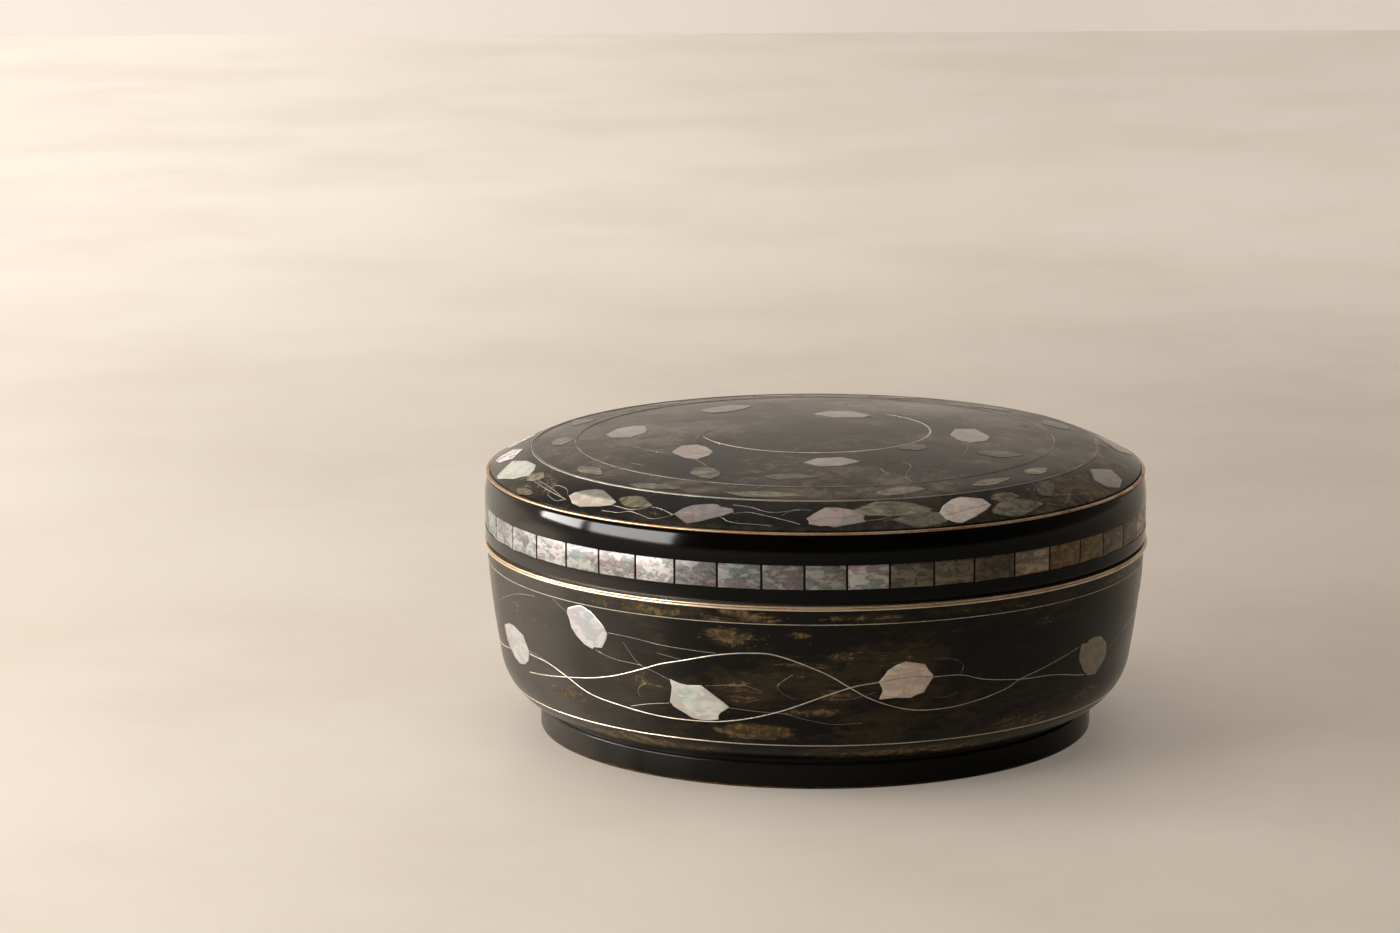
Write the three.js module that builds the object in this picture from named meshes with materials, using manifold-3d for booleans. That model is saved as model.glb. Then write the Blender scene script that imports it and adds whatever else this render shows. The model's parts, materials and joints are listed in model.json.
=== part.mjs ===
// Round lacquer box with a lift-off lid. The wooden cores carry a lacquer coat, and shell leaves,
// a band of shell tiles and fine metal wires are let into the coat.
// Millimetres, +Z up. The origin is on the axis, at the underside of the foot.
// Angles round the axis start at the front (-Y) and grow towards the right (+X).

import * as THREE from "three";
import { mergeVertices } from "three/addons/utils/BufferGeometryUtils.js";
import Module from "manifold-3d";

const wasm = await Module();
wasm.setup();

const { degToRad } = THREE.MathUtils;

// Clearances and layers shared by both halves
const FIT_GAP = 0.3;
const LID_RUNNING_GAP = 0.5;
const LID_SEAT_GAP = 0.3;
const LACQUER = 1.8;
const WIRE_PROUD = 0.1;

// Body of the base: a haunch that curls in to the foot, and a wall that widens to the rim
const RIM_RADIUS = 119.95;
const RIM_HEIGHT = 70;
const LIP_HEIGHT = 11.2;
const HAUNCH_RADIUS = 22.3;
const HAUNCH_CURL = degToRad(63);
const WALL_TAPER = degToRad(6.6);
const BODY_WALL = 7;
const HAUNCH_STEPS = 3;
const HAUNCH_STEPS_INSIDE = 2;

// Foot, set back under the lip of the body
const FOOT_SETBACK = 2.33;
const FOOT_WIDTH = 7.5;
const FOOT_NECK_DEPTH = 1.2;
const FOOT_NECK_HEIGHT = 2.2;
const FOOT_EDGE = 0.4;

// Floor board, let into the core from above, on a flange that reaches in past the foot
const FLANGE_REACH = 4.6;
const FLANGE_THICKNESS = 3;
const FLOOR_LAP = 5.1;
const FLOOR_THICKNESS = 4;

// Collar that the lid slips over
const COLLAR_SINK = 14;
const COLLAR_STAND = 8.5;
const COLLAR_THICKNESS = 2.6;
const COLLAR_CHAMFER = 0.8;

// Ring wires of the base
const RIM_WIRE_HEIGHT = 2.1;
const RIM_WIRE_DROP = 0.2;
const RIM_WIRE_STAND = 1.3;
const LOWER_LINE_RISE = 7.2;
const LOWER_LINE_WIDTH = 0.9;
const LINE_DEPTH = 0.9;

// Lid: heights count from its own lower edge
const LID_OVERHANG = 0.45;
const LID_WALL = 6;
const LID_SIDE_HEIGHT = 23.3;
const LID_FOOT_CHAMFER = 0.9;
const LID_SIDE_ROUND = 1.5;
const LID_JOINT_DROP = 3.8;
const LID_TOP_THICKNESS = 4;
const SHOULDER_WIDTH = 17.7;
const SHOULDER_RISE = 7.05;
const SHOULDER_LIP = 0.35;
const SHOULDER_CURL = 0.35;
const DOME_RISE = 6;
const DOME_STEPS = 2;
const SHOULDER_STEPS = 1;
const CEILING_STEPS = 1;
const EDGE_WIRE_WIDTH = 1.45;
const EDGE_WIRE_HEIGHT = 1.4;
const OUTER_RING_WIDTH = 1.1;
const CENTRE_ARC_RADIUS = 42;
const CENTRE_ARC_WIDTH = 0.9;
const CENTRE_ARC_SPAN = [-75, 140];
const CENTRE_ARC_STEPS = 14;

// Band of shell tiles round the lid. The turned forms have one facet for each tile.
const TILE_COUNT = 45;
const TILE_FOOT = 4.85;
const TILE_HEIGHT = 8.35;
const TILE_JOINT = 0.45;
const TILE_PROUD = 0.2;
const TILE_DEPTH = 0.8;

// Shell leaves. An outline is in millimetres, across to the right and up, round its own middle.
const LEAF_THICKNESS = 0.8;
const LEAF_CUTS = {
  oval: [[-11.4, 4.4], [-5, 6.6], [0.5, 6.9], [8.2, 5], [11.4, -0.4], [8, -5.2], [0.8, -7], [-8.6, -2.6]],
  egg: [[-9.6, 3.8], [-8.2, 6.2], [-2, 7.2], [4.2, 5], [9.6, -0.8], [6.6, -6.4], [1.9, -7.2], [-5.3, -4]],
  horned: [
    [-10.4, 7], [-4, 5.4], [1.1, 5.8], [11, -1.5], [7.6, -3.8], [6.8, -6.4], [0.7, -7], [-5.6, -5],
    [-11, -1.4], [-9.8, 3.4],
  ],
  veined: [
    [-9.7, -0.3], [-5.2, 4.8], [-0.4, 6.7], [6.6, 5.2], [9.7, 0.8], [6.6, -5.1], [1.8, -6.7],
    [-9.4, -6.7], [-8.2, -3.2],
  ],
  shield: [[-9.8, 6.3], [-1.8, 7.1], [3.2, 6.6], [10.2, 0.8], [4, -7.1], [-3.1, -6.6], [-10, 1]],
  fan: [[-12.8, 1.2], [-3.9, 4.8], [5.6, 5.4], [13, 1.3], [8.4, -2.8], [-1.8, -5.6], [-8.2, -3.4]],
  keel: [[-11, -0.6], [-7, 3.2], [0.2, 5], [11, 0.8], [6.3, -2.6], [-1.4, -4.6], [-6.6, -3.8]],
  fin: [[-10.4, -1.6], [-5, 3], [1.6, 4.6], [9.6, 2.8], [10.5, 1], [0.7, -4.2], [-4, -5.4], [-7.4, -3.6]],
  scallop: [
    [-10.2, -0.4], [-3.4, 5], [1, 4.9], [9.8, 0.4], [10, -2.2], [-1, -4.9], [-5.9, -4.2], [-9.6, -3],
  ],
  lozenge: [[-10.1, 0.3], [-5.1, 5.6], [4.4, 6], [10.1, -0.2], [3, -5.5], [-4.6, -6]],
};

// Leaves round the base: cut, angle, place of the middle from 0 at the rim to 100 at the line wire, turn
const BASE_LEAVES = [
  ["oval", -67.3, 60.5, 0],
  ["egg", -43.4, 30.6, 0],
  ["horned", -21.6, 70, 0],
  ["veined", 13.9, 53.9, 0],
  ["shield", 55.8, 60.9, 0],
  ["egg", 87, 31.8, 8],
  ["horned", 114, 69.8, 0],
  ["veined", 149, 52.3, 0],
  ["oval", 189, 63, -10],
  ["egg", 221, 31, 0],
  ["shield", 256, 64.9, 12],
];

// Vine wires round the base, each from one leaf or crossing to the next: angle, place as for the leaves
const VINE_THICKNESS = 1.1;
const VINE_SAMPLES = 400;
const VINES = [
  [[-61, 63.2], [-50.5, 69.4], [-38, 81], [-24, 86.8], [-12, 80.6], [-3, 69.4], [4.6, 57.8], [8.1, 55.2]],
  [[-64.5, 77.1], [-58, 75.2], [-52.6, 71.9]],
  [[-48.4, 67.8], [-43.7, 64.7], [-36, 58.1], [-28.4, 47.7], [-19, 37.6], [-10.5, 34.1], [-3.5, 40.7], [3.2, 54.3]],
  [[6, 61.2], [11.6, 71.9], [19.9, 76.6], [28.7, 72.5], [33.8, 66.3]],
  [[19.6, 52.3], [25, 55.4], [30, 59.7], [36, 63.2], [44, 65.5], [51.8, 69]],
  [[38.2, 60.3], [43, 55.8], [49.9, 50.2]],
  [[61.8, 59.3], [70, 50.4], [80, 49.2], [95, 53.5], [107.6, 55.4]],
  [[120.5, 73.4], [131, 79.5], [145, 78.3], [160, 69.8], [172, 62], [183.2, 59.3]],
  [[195.6, 68.2], [207, 74.4], [221, 76.7], [237, 71.7], [250.1, 67.1]],
  [[262, 60.1], [270, 67.8], [279, 70.9], [287.4, 67.1]],
];

// Leaves on the lid: cut, angle, place from 0 at the edge to 100 at the ring wire and 200 at the axis, turn
const LID_LEAVES = [
  ["fan", -75.4, 53.7, 0],
  ["keel", -45.1, 52, 0],
  ["fin", -21.4, 54.2, 0],
  ["scallop", 2.2, 52, 0],
  ["scallop", 25.9, 52, 6],
  ["keel", 66, 53.1, 180],
  ["fan", 96, 53.7, 0],
  ["fin", 121, 54.2, 0],
  ["scallop", 147, 52, 0],
  ["keel", 173, 52, 0],
  ["fan", 201, 53.7, 0],
  ["fin", 229, 54.2, 0],
  ["scallop", 256, 52, 0],
  ["egg", -96.7, 132.8, 16],
  ["lozenge", -51.5, 144.5, -34],
  ["lozenge", 4.9, 145.5, 0],
  ["oval", 83.4, 144.5, 0],
  ["lozenge", 160, 168.9, 10],
  ["egg", 213, 141.6, 30],
];

// Finishes
const FINISHES = {
  lacquer: { color: 0x1b1611, roughness: 0.22, metalness: 0 },
  core: { color: 0x2a1d14, roughness: 0.5, metalness: 0 },
  shell: { color: 0xcfc8bd, roughness: 0.28, metalness: 0.1 },
  brass: { color: 0xb9935c, roughness: 0.32, metalness: 1 },
  copper: { color: 0x9c6d48, roughness: 0.35, metalness: 1 },
};

const halfFacet = Math.PI / TILE_COUNT;

// A closed geometry as a solid that can be cut and joined
function solid(geometry) {
  geometry.deleteAttribute("normal");
  geometry.deleteAttribute("uv");
  const merged = mergeVertices(geometry, 1e-4);
  const corners = merged.index.array;
  const triangles = [];
  for (let i = 0; i < corners.length; i += 3) {
    const [a, b, c] = corners.slice(i, i + 3);
    if (a !== b && b !== c && c !== a) {
      triangles.push(a, b, c);
    }
  }
  const vertProperties = merged.attributes.position.array;
  return new wasm.Manifold(new wasm.Mesh({ numProp: 3, vertProperties, triVerts: Uint32Array.from(triangles) }));
}

// A closed outline of [radius, height] points, outer side upwards, turned round the axis
function turned(outline) {
  const onAxis = outline[0][0] === 0;
  const points = outline.map(([radius, height]) => new THREE.Vector2(radius, height));
  if (!onAxis) {
    points.push(points[0].clone());
  }
  const geometry = new THREE.LatheGeometry(points, TILE_COUNT, halfFacet);
  geometry.rotateX(Math.PI / 2);
  return solid(geometry);
}

// Outline of a rectangle between two radii and two heights
function rectangle(inner, outer, bottom, top) {
  return [[inner, bottom], [outer, bottom], [outer, top], [inner, top]];
}

// A piece of the assembly in its own finish
function piece(name, body, finish) {
  const cut = body.getMesh();
  const geometry = new THREE.BufferGeometry();
  geometry.setAttribute("position", new THREE.BufferAttribute(Float32Array.from(cut.vertProperties), 3));
  geometry.setIndex(new THREE.BufferAttribute(Uint32Array.from(cut.triVerts), 1));
  geometry.computeVertexNormals();
  const mesh = new THREE.Mesh(geometry, new THREE.MeshStandardMaterial(FINISHES[finish]));
  mesh.name = name;
  return mesh;
}

// Base surfaces. An inset counts inwards from the outside of the lacquer.
function wallRadius(height, inset = 0) {
  return RIM_RADIUS - (RIM_HEIGHT - height) * Math.tan(WALL_TAPER) - inset / Math.cos(WALL_TAPER);
}

const haunchHeight = LIP_HEIGHT + HAUNCH_RADIUS * (Math.sin(HAUNCH_CURL) - Math.sin(WALL_TAPER));
const haunchCentre = {
  radius: wallRadius(haunchHeight) - HAUNCH_RADIUS * Math.cos(WALL_TAPER),
  height: haunchHeight + HAUNCH_RADIUS * Math.sin(WALL_TAPER),
};
const wallField = RIM_HEIGHT - LIP_HEIGHT - LOWER_LINE_RISE;
const rimWireSeat = RIM_HEIGHT - RIM_WIRE_DROP - RIM_WIRE_HEIGHT;

function bodyRadius(height, inset = 0) {
  const radius = HAUNCH_RADIUS - inset;
  const drop = haunchCentre.height - height;
  if (drop < radius * Math.sin(WALL_TAPER)) {
    return wallRadius(height, inset);
  }
  return haunchCentre.radius + Math.sqrt(radius ** 2 - drop ** 2);
}

// Outline of the body at an inset, from the bottom height up to the top height
function bodyOutline(inset, bottom, top, steps = HAUNCH_STEPS) {
  const radius = HAUNCH_RADIUS - inset;
  const start = -Math.asin((haunchCentre.height - bottom) / radius);
  const outline = [];
  for (let i = 0; i <= steps; i += 1) {
    const angle = THREE.MathUtils.lerp(start, -WALL_TAPER, i / steps);
    outline.push([
      haunchCentre.radius + radius * Math.cos(angle),
      haunchCentre.height + radius * Math.sin(angle),
    ]);
  }
  outline.push([wallRadius(top, inset), top]);
  return outline;
}

// Layer of the body's skin between two insets
function bodyLayer(outer, inner) {
  const outside = bodyOutline(outer, LIP_HEIGHT, rimWireSeat);
  const inside = bodyOutline(inner, LIP_HEIGHT, rimWireSeat);
  return turned([...outside, ...inside.reverse()]);
}

// Lid surfaces. A depth counts down from the outside of the lacquer.
const lidRadius = RIM_RADIUS + LID_OVERHANG;
const lidCoreRadius = lidRadius - LACQUER - FIT_GAP;
const ringRadius = lidRadius - SHOULDER_WIDTH;
const ringHeight = LID_SIDE_HEIGHT + EDGE_WIRE_HEIGHT + SHOULDER_LIP + SHOULDER_RISE;
const domeRadius = (ringRadius ** 2 + DOME_RISE ** 2) / (2 * DOME_RISE);

function lidSurface(radius) {
  if (radius <= ringRadius) {
    return ringHeight + DOME_RISE - domeRadius + Math.sqrt(domeRadius ** 2 - radius ** 2);
  }
  const along = (radius - ringRadius) / (lidCoreRadius - ringRadius);
  return ringHeight - SHOULDER_RISE * ((1 - SHOULDER_CURL) * along + SHOULDER_CURL * along ** 2);
}

function lidSlope(radius) {
  const step = 0.5;
  return (lidSurface(radius + step) - lidSurface(radius - step)) / (2 * step);
}

function lidHeight(radius, depth = 0) {
  return lidSurface(radius) - depth * Math.hypot(1, lidSlope(radius));
}

// Outline across the lid at a depth, from the given radius in to the axis
function lidOutline(depth, from = lidCoreRadius, shoulderSteps = SHOULDER_STEPS, domeSteps = DOME_STEPS) {
  const radii = [];
  for (let i = shoulderSteps; i > 0; i -= 1) {
    radii.push(THREE.MathUtils.lerp(ringRadius, from, i / shoulderSteps));
  }
  for (let i = domeSteps; i >= 0; i -= 1) {
    radii.push((ringRadius * i) / domeSteps);
  }
  return radii.map((radius) => [radius, lidHeight(radius, depth)]);
}

// Layer of the lid's top between two depths
function lidLayer(outer, inner) {
  return turned([...lidOutline(inner).reverse(), ...lidOutline(outer)]);
}

// Placing frames: across to the right, up the surface, and out of it
function surfaceFrame(angle, radius, height, lean, turn) {
  const round = degToRad(angle);
  const outwards = new THREE.Vector3(Math.sin(round), -Math.cos(round), 0);
  const across = new THREE.Vector3(Math.cos(round), Math.sin(round), 0);
  const normal = outwards.clone().multiplyScalar(Math.cos(lean));
  normal.z = Math.sin(lean);
  const up = normal.clone().cross(across);
  const frame = new THREE.Matrix4().makeBasis(across, up, normal);
  frame.setPosition(outwards.multiplyScalar(radius).setZ(height));
  return frame.multiply(new THREE.Matrix4().makeRotationZ(degToRad(turn)));
}

function bodyFrame(angle, place, turn = 0) {
  const height = RIM_HEIGHT - (wallField * place) / 100;
  const drop = Math.max(haunchCentre.height - height, HAUNCH_RADIUS * Math.sin(WALL_TAPER));
  const lean = -Math.asin(drop / HAUNCH_RADIUS);
  return surfaceFrame(angle, bodyRadius(height), height, lean, turn);
}

function lidFrame(angle, place, turn) {
  const onShoulder = lidRadius - (SHOULDER_WIDTH * place) / 100;
  const radius = Math.min(onShoulder, ringRadius * (2 - place / 100));
  const lean = Math.PI / 2 + Math.atan(lidSlope(radius));
  return surfaceFrame(angle, radius, lidHeight(radius), lean, turn);
}

// Outline with every side moved outwards by a margin
function grown(outline, margin) {
  const count = outline.length;
  return outline.map(([x, y], i) => {
    const before = outline[(i + count - 1) % count];
    const after = outline[(i + 1) % count];
    const incoming = new THREE.Vector2(x - before[0], y - before[1]).normalize();
    const outgoing = new THREE.Vector2(after[0] - x, after[1] - y).normalize();
    const bisector = new THREE.Vector2(-incoming.y - outgoing.y, incoming.x + outgoing.x).normalize();
    const reach = margin / Math.max(0.5, bisector.x * -incoming.y + bisector.y * incoming.x);
    return [x + bisector.x * reach, y + bisector.y * reach];
  });
}

// Prism of a leaf's outline that stands through the skin at its place
function leafPrism(cut, frame, margin = 0) {
  const reach = 3;
  const outline = grown(LEAF_CUTS[cut], margin).map(([x, y]) => new THREE.Vector2(x, y));
  const prism = new THREE.ExtrudeGeometry(new THREE.Shape(outline), { depth: 2 * reach, bevelEnabled: false });
  prism.translate(0, 0, -reach);
  prism.applyMatrix4(frame);
  return solid(prism);
}

// Route of a vine wire as [angle, place], with a point on each edge between two facets of the body
function vineRoute(points) {
  const curve = new THREE.CatmullRomCurve3(points.map(([angle, place]) => new THREE.Vector3(angle, place, 0)));
  const samples = curve.getPoints(VINE_SAMPLES);
  const first = samples[0].x;
  const last = samples.at(-1).x;
  const facet = 2 * THREE.MathUtils.radToDeg(halfFacet);
  const shortest = facet / 8;
  const angles = [first];
  for (let edge = Math.ceil(first / facet) * facet - facet / 2; edge < last - shortest; edge += facet) {
    if (edge > first + shortest) {
      angles.push(edge);
    }
  }
  angles.push(last);
  return angles.map((angle) => {
    const after = Math.max(1, samples.findIndex((sample) => sample.x >= angle));
    const [from, to] = [samples[after - 1], samples[after]];
    return [angle, THREE.MathUtils.mapLinear(angle, from.x, to.x, from.y, to.y)];
  });
}

// Wire with a flat outer face and a keel, laid along a route on the body, and the groove that it lies in
function vine(points, margin = 0) {
  const route = vineRoute(points);
  const steps = route.length - 1;
  const reach = VINE_THICKNESS / 2 + 2 * margin;
  const wire = new THREE.CylinderGeometry(reach, reach, steps, 3, steps, false, Math.PI);
  const places = wire.attributes.position;
  const spot = new THREE.Vector3();
  for (let i = 0; i < places.count; i += 1) {
    spot.fromBufferAttribute(places, i);
    const index = Math.round(spot.y + steps / 2);
    const [angle, place] = route[index];
    const before = route[Math.max(index - 1, 0)];
    const after = route[Math.min(index + 1, steps)];
    const fall = (wallField * (after[1] - before[1])) / 100;
    const slope = fall / (degToRad(after[0] - before[0]) * RIM_RADIUS);
    const end = margin * (Number(index === steps) - Number(index === 0));
    spot.set(end, -spot.x * Math.hypot(1, slope), spot.z - VINE_THICKNESS / 4 + WIRE_PROUD);
    spot.applyMatrix4(bodyFrame(angle, place));
    places.setXYZ(i, spot.x, spot.y, spot.z);
  }
  return solid(wire);
}

// Cuts the pockets for a set of leaves in a coat and gives the leaves that lie in them
function inlay(coat, leaves, frameOf, skin, pocketZone) {
  const parts = [];
  let pocketed = coat;
  for (const [cut, angle, place, turn] of leaves) {
    const frame = frameOf(angle, place, turn);
    pocketed = pocketed.subtract(leafPrism(cut, frame, FIT_GAP).intersect(pocketZone));
    parts.push(leafPrism(cut, frame).intersect(skin));
  }
  return { pocketed, parts };
}

// Base
const base = new THREE.Group();

const coreInset = LACQUER + FIT_GAP;
const ledgeHeight = LIP_HEIGHT + FLANGE_THICKNESS;
const floorTop = ledgeHeight + FLOOR_THICKNESS;
const collarFoot = RIM_HEIGHT - COLLAR_SINK;
const collarTop = RIM_HEIGHT + COLLAR_STAND;
const collarOuter = lidRadius - LID_WALL - LID_RUNNING_GAP;
const collarInner = collarOuter - COLLAR_THICKNESS;
const footOuter = bodyRadius(LIP_HEIGHT) - FOOT_SETBACK;
const footInner = footOuter - FOOT_WIDTH;
const flangeRadius = footInner - FLANGE_REACH;
const floorSeat = flangeRadius + FLOOR_LAP;

const coreOutside = bodyOutline(coreInset, LIP_HEIGHT, RIM_HEIGHT);
const coreInside = bodyOutline(BODY_WALL, floorTop, collarFoot, HAUNCH_STEPS_INSIDE);
base.add(piece("base_core", turned([
  ...coreOutside,
  [collarOuter + FIT_GAP, RIM_HEIGHT],
  [collarOuter + FIT_GAP, collarFoot],
  ...coreInside.reverse(),
  [floorSeat, floorTop],
  [floorSeat, ledgeHeight],
  [flangeRadius, ledgeHeight],
  [flangeRadius, LIP_HEIGHT],
]), "core"));

base.add(piece("base_floor", turned([
  [0, ledgeHeight],
  [floorSeat - FIT_GAP, ledgeHeight],
  [floorSeat - FIT_GAP, floorTop],
  [0, floorTop],
]), "core"));

base.add(piece("foot_ring", turned([
  [footInner, 0],
  [footOuter, 0],
  [footOuter, LIP_HEIGHT - FOOT_NECK_HEIGHT - FOOT_EDGE],
  [footOuter - FOOT_NECK_DEPTH, LIP_HEIGHT - FOOT_NECK_HEIGHT],
  [footOuter - FOOT_NECK_DEPTH, LIP_HEIGHT],
  [footInner, LIP_HEIGHT],
]), "lacquer"));

base.add(piece("inner_collar", turned([
  [collarInner, collarFoot],
  [collarOuter, collarFoot],
  [collarOuter, collarTop - COLLAR_CHAMFER],
  [collarOuter - COLLAR_CHAMFER, collarTop],
  [collarInner, collarTop],
]), "lacquer"));

// Line wire round the body, and the groove that it lies in
function lowerLine(margin = 0) {
  const height = LIP_HEIGHT + LOWER_LINE_RISE;
  const half = LOWER_LINE_WIDTH / 2 + margin;
  const outside = bodyRadius(height) + WIRE_PROUD + margin;
  const inside = bodyRadius(height) - LINE_DEPTH - margin;
  return turned(rectangle(inside, outside, height - half, height + half));
}

const grooved = VINES.reduce(
  (coat, route) => coat.subtract(vine(route, FIT_GAP)),
  bodyLayer(0, LACQUER).subtract(lowerLine(FIT_GAP)),
);
const baseInlay = inlay(
  grooved,
  BASE_LEAVES,
  bodyFrame,
  bodyLayer(0, LEAF_THICKNESS),
  bodyLayer(-1, LEAF_THICKNESS + FIT_GAP),
);
base.add(piece("base_lacquer", baseInlay.pocketed, "lacquer"));
baseInlay.parts.forEach((leaf, i) => base.add(piece(`base_leaf_${i + 1}`, leaf, "shell")));

VINES.forEach((route, i) => base.add(piece(`vine_wire_${i + 1}`, vine(route), "brass")));

base.add(piece("lower_line_wire", lowerLine(), "brass"));

const rimWireInner = wallRadius(RIM_HEIGHT, coreInset) + FIT_GAP;
const rimWireOuter = wallRadius(rimWireSeat) + RIM_WIRE_STAND;
const rimWireRound = RIM_WIRE_HEIGHT / 2;
base.add(piece("rim_wire", turned([
  [rimWireInner, rimWireSeat],
  [rimWireOuter - rimWireRound, rimWireSeat],
  [rimWireOuter, rimWireSeat + rimWireRound],
  [rimWireOuter - rimWireRound, rimWireSeat + RIM_WIRE_HEIGHT],
  [rimWireInner, rimWireSeat + RIM_WIRE_HEIGHT],
]), "brass"));

// Lid, resting on the rim of the base's core
const lid = new THREE.Group();
lid.position.z = RIM_HEIGHT + LID_SEAT_GAP;

const lidBore = lidRadius - LID_WALL;
const lidJoint = LID_SIDE_HEIGHT - LID_JOINT_DROP;
lid.add(piece("lid_wall_core", turned(rectangle(lidBore, lidCoreRadius, 0, lidJoint)), "core"));

const ceilingRadius = (ringRadius + lidBore) / 2;
const lidCeiling = lidOutline(coreInset + LID_TOP_THICKNESS, ceilingRadius, CEILING_STEPS, CEILING_STEPS);
lid.add(piece("lid_top_core", turned([
  ...lidCeiling.reverse(),
  [lidBore, lidJoint],
  [lidCoreRadius, lidJoint],
  ...lidOutline(coreInset),
]), "core"));

// Side coat, with the tiles standing on its facets
function tiledSide() {
  const facet = lidRadius * Math.cos(halfFacet);
  const width = 2 * facet * Math.tan(halfFacet) - TILE_JOINT;
  const tile = new THREE.BoxGeometry(width, TILE_PROUD + TILE_DEPTH, TILE_HEIGHT);
  tile.translate(0, -facet - (TILE_PROUD - TILE_DEPTH) / 2, TILE_FOOT + TILE_HEIGHT / 2);
  const parts = [turned([
    [lidRadius - LACQUER, 0],
    [lidRadius - LID_FOOT_CHAMFER, 0],
    [lidRadius, LID_FOOT_CHAMFER],
    [lidRadius, LID_SIDE_HEIGHT - LID_SIDE_ROUND],
    [lidRadius - LID_SIDE_ROUND / 3, LID_SIDE_HEIGHT],
    [lidRadius - LACQUER, LID_SIDE_HEIGHT],
  ])];
  for (let i = 0; i < TILE_COUNT; i += 1) {
    parts.push(solid(tile.clone().rotateZ(2 * halfFacet * i)));
  }
  return wasm.Manifold.union(parts);
}
lid.add(piece("lid_side_lacquer", tiledSide(), "lacquer"));

const edgeInner = lidCoreRadius + FIT_GAP;
const edgeRound = EDGE_WIRE_HEIGHT / 3;
lid.add(piece("lid_edge_wire", turned([
  [edgeInner, LID_SIDE_HEIGHT],
  [edgeInner + EDGE_WIRE_WIDTH - edgeRound, LID_SIDE_HEIGHT],
  [edgeInner + EDGE_WIRE_WIDTH, LID_SIDE_HEIGHT + edgeRound],
  [edgeInner + EDGE_WIRE_WIDTH - edgeRound, LID_SIDE_HEIGHT + EDGE_WIRE_HEIGHT],
  [edgeInner, LID_SIDE_HEIGHT + EDGE_WIRE_HEIGHT],
]), "copper"));

// Wire ring between shoulder and dome, and the groove that it lies in
function outerRing(margin = 0) {
  const top = ringHeight + WIRE_PROUD + margin;
  const half = OUTER_RING_WIDTH / 2 + margin;
  return turned(rectangle(ringRadius - half, ringRadius + half, ringHeight - LINE_DEPTH, top));
}

// Open wire arc near the middle of the dome, and its groove
function centreArc(margin = 0) {
  const spare = margin / CENTRE_ARC_RADIUS;
  const [from, to] = CENTRE_ARC_SPAN.map(degToRad);
  const height = lidHeight(CENTRE_ARC_RADIUS) - CENTRE_ARC_WIDTH / 2 + WIRE_PROUD;
  const points = [];
  for (let i = 0; i <= CENTRE_ARC_STEPS; i += 1) {
    const angle = THREE.MathUtils.lerp(from - spare, to + spare, i / CENTRE_ARC_STEPS);
    const x = CENTRE_ARC_RADIUS * Math.sin(angle);
    points.push(new THREE.Vector3(x, -CENTRE_ARC_RADIUS * Math.cos(angle), height));
  }
  const half = CENTRE_ARC_WIDTH / 2 + margin;
  const section = new THREE.Shape([[-half, -half], [half, -half], [half, half], [-half, half]]
    .map(([x, y]) => new THREE.Vector2(x, y)));
  return solid(new THREE.ExtrudeGeometry(section, {
    steps: CENTRE_ARC_STEPS,
    bevelEnabled: false,
    extrudePath: new THREE.CatmullRomCurve3(points),
  }));
}

const lidInlay = inlay(
  lidLayer(0, LACQUER)
    .subtract(outerRing(FIT_GAP))
    .subtract(centreArc(FIT_GAP)),
  LID_LEAVES,
  lidFrame,
  lidLayer(0, LEAF_THICKNESS),
  lidLayer(-1, LEAF_THICKNESS + FIT_GAP),
);
lid.add(piece("lid_top_lacquer", lidInlay.pocketed, "lacquer"));
lidInlay.parts.forEach((leaf, i) => lid.add(piece(`lid_leaf_${i + 1}`, leaf, "shell")));

lid.add(piece("outer_ring_wire", outerRing(), "brass"));
lid.add(piece("centre_arc_wire", centreArc(), "brass"));

const box = new THREE.Group();
box.add(base, lid);

export default box;
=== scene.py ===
# Round lacquer box with a lift-off lid, inlaid with shell leaves, a band of shell tiles and fine wires.
# Sizes are in millimetres and become metres where they enter a mesh. Angles round the axis are in
# degrees, from the front towards the right.

import functools
import json
import logging
import math
import random
from collections.abc import Sequence
from dataclasses import dataclass, field
from enum import Enum

import bmesh
import bpy
import numpy as np
from mathutils import Euler, Matrix, Vector

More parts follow.
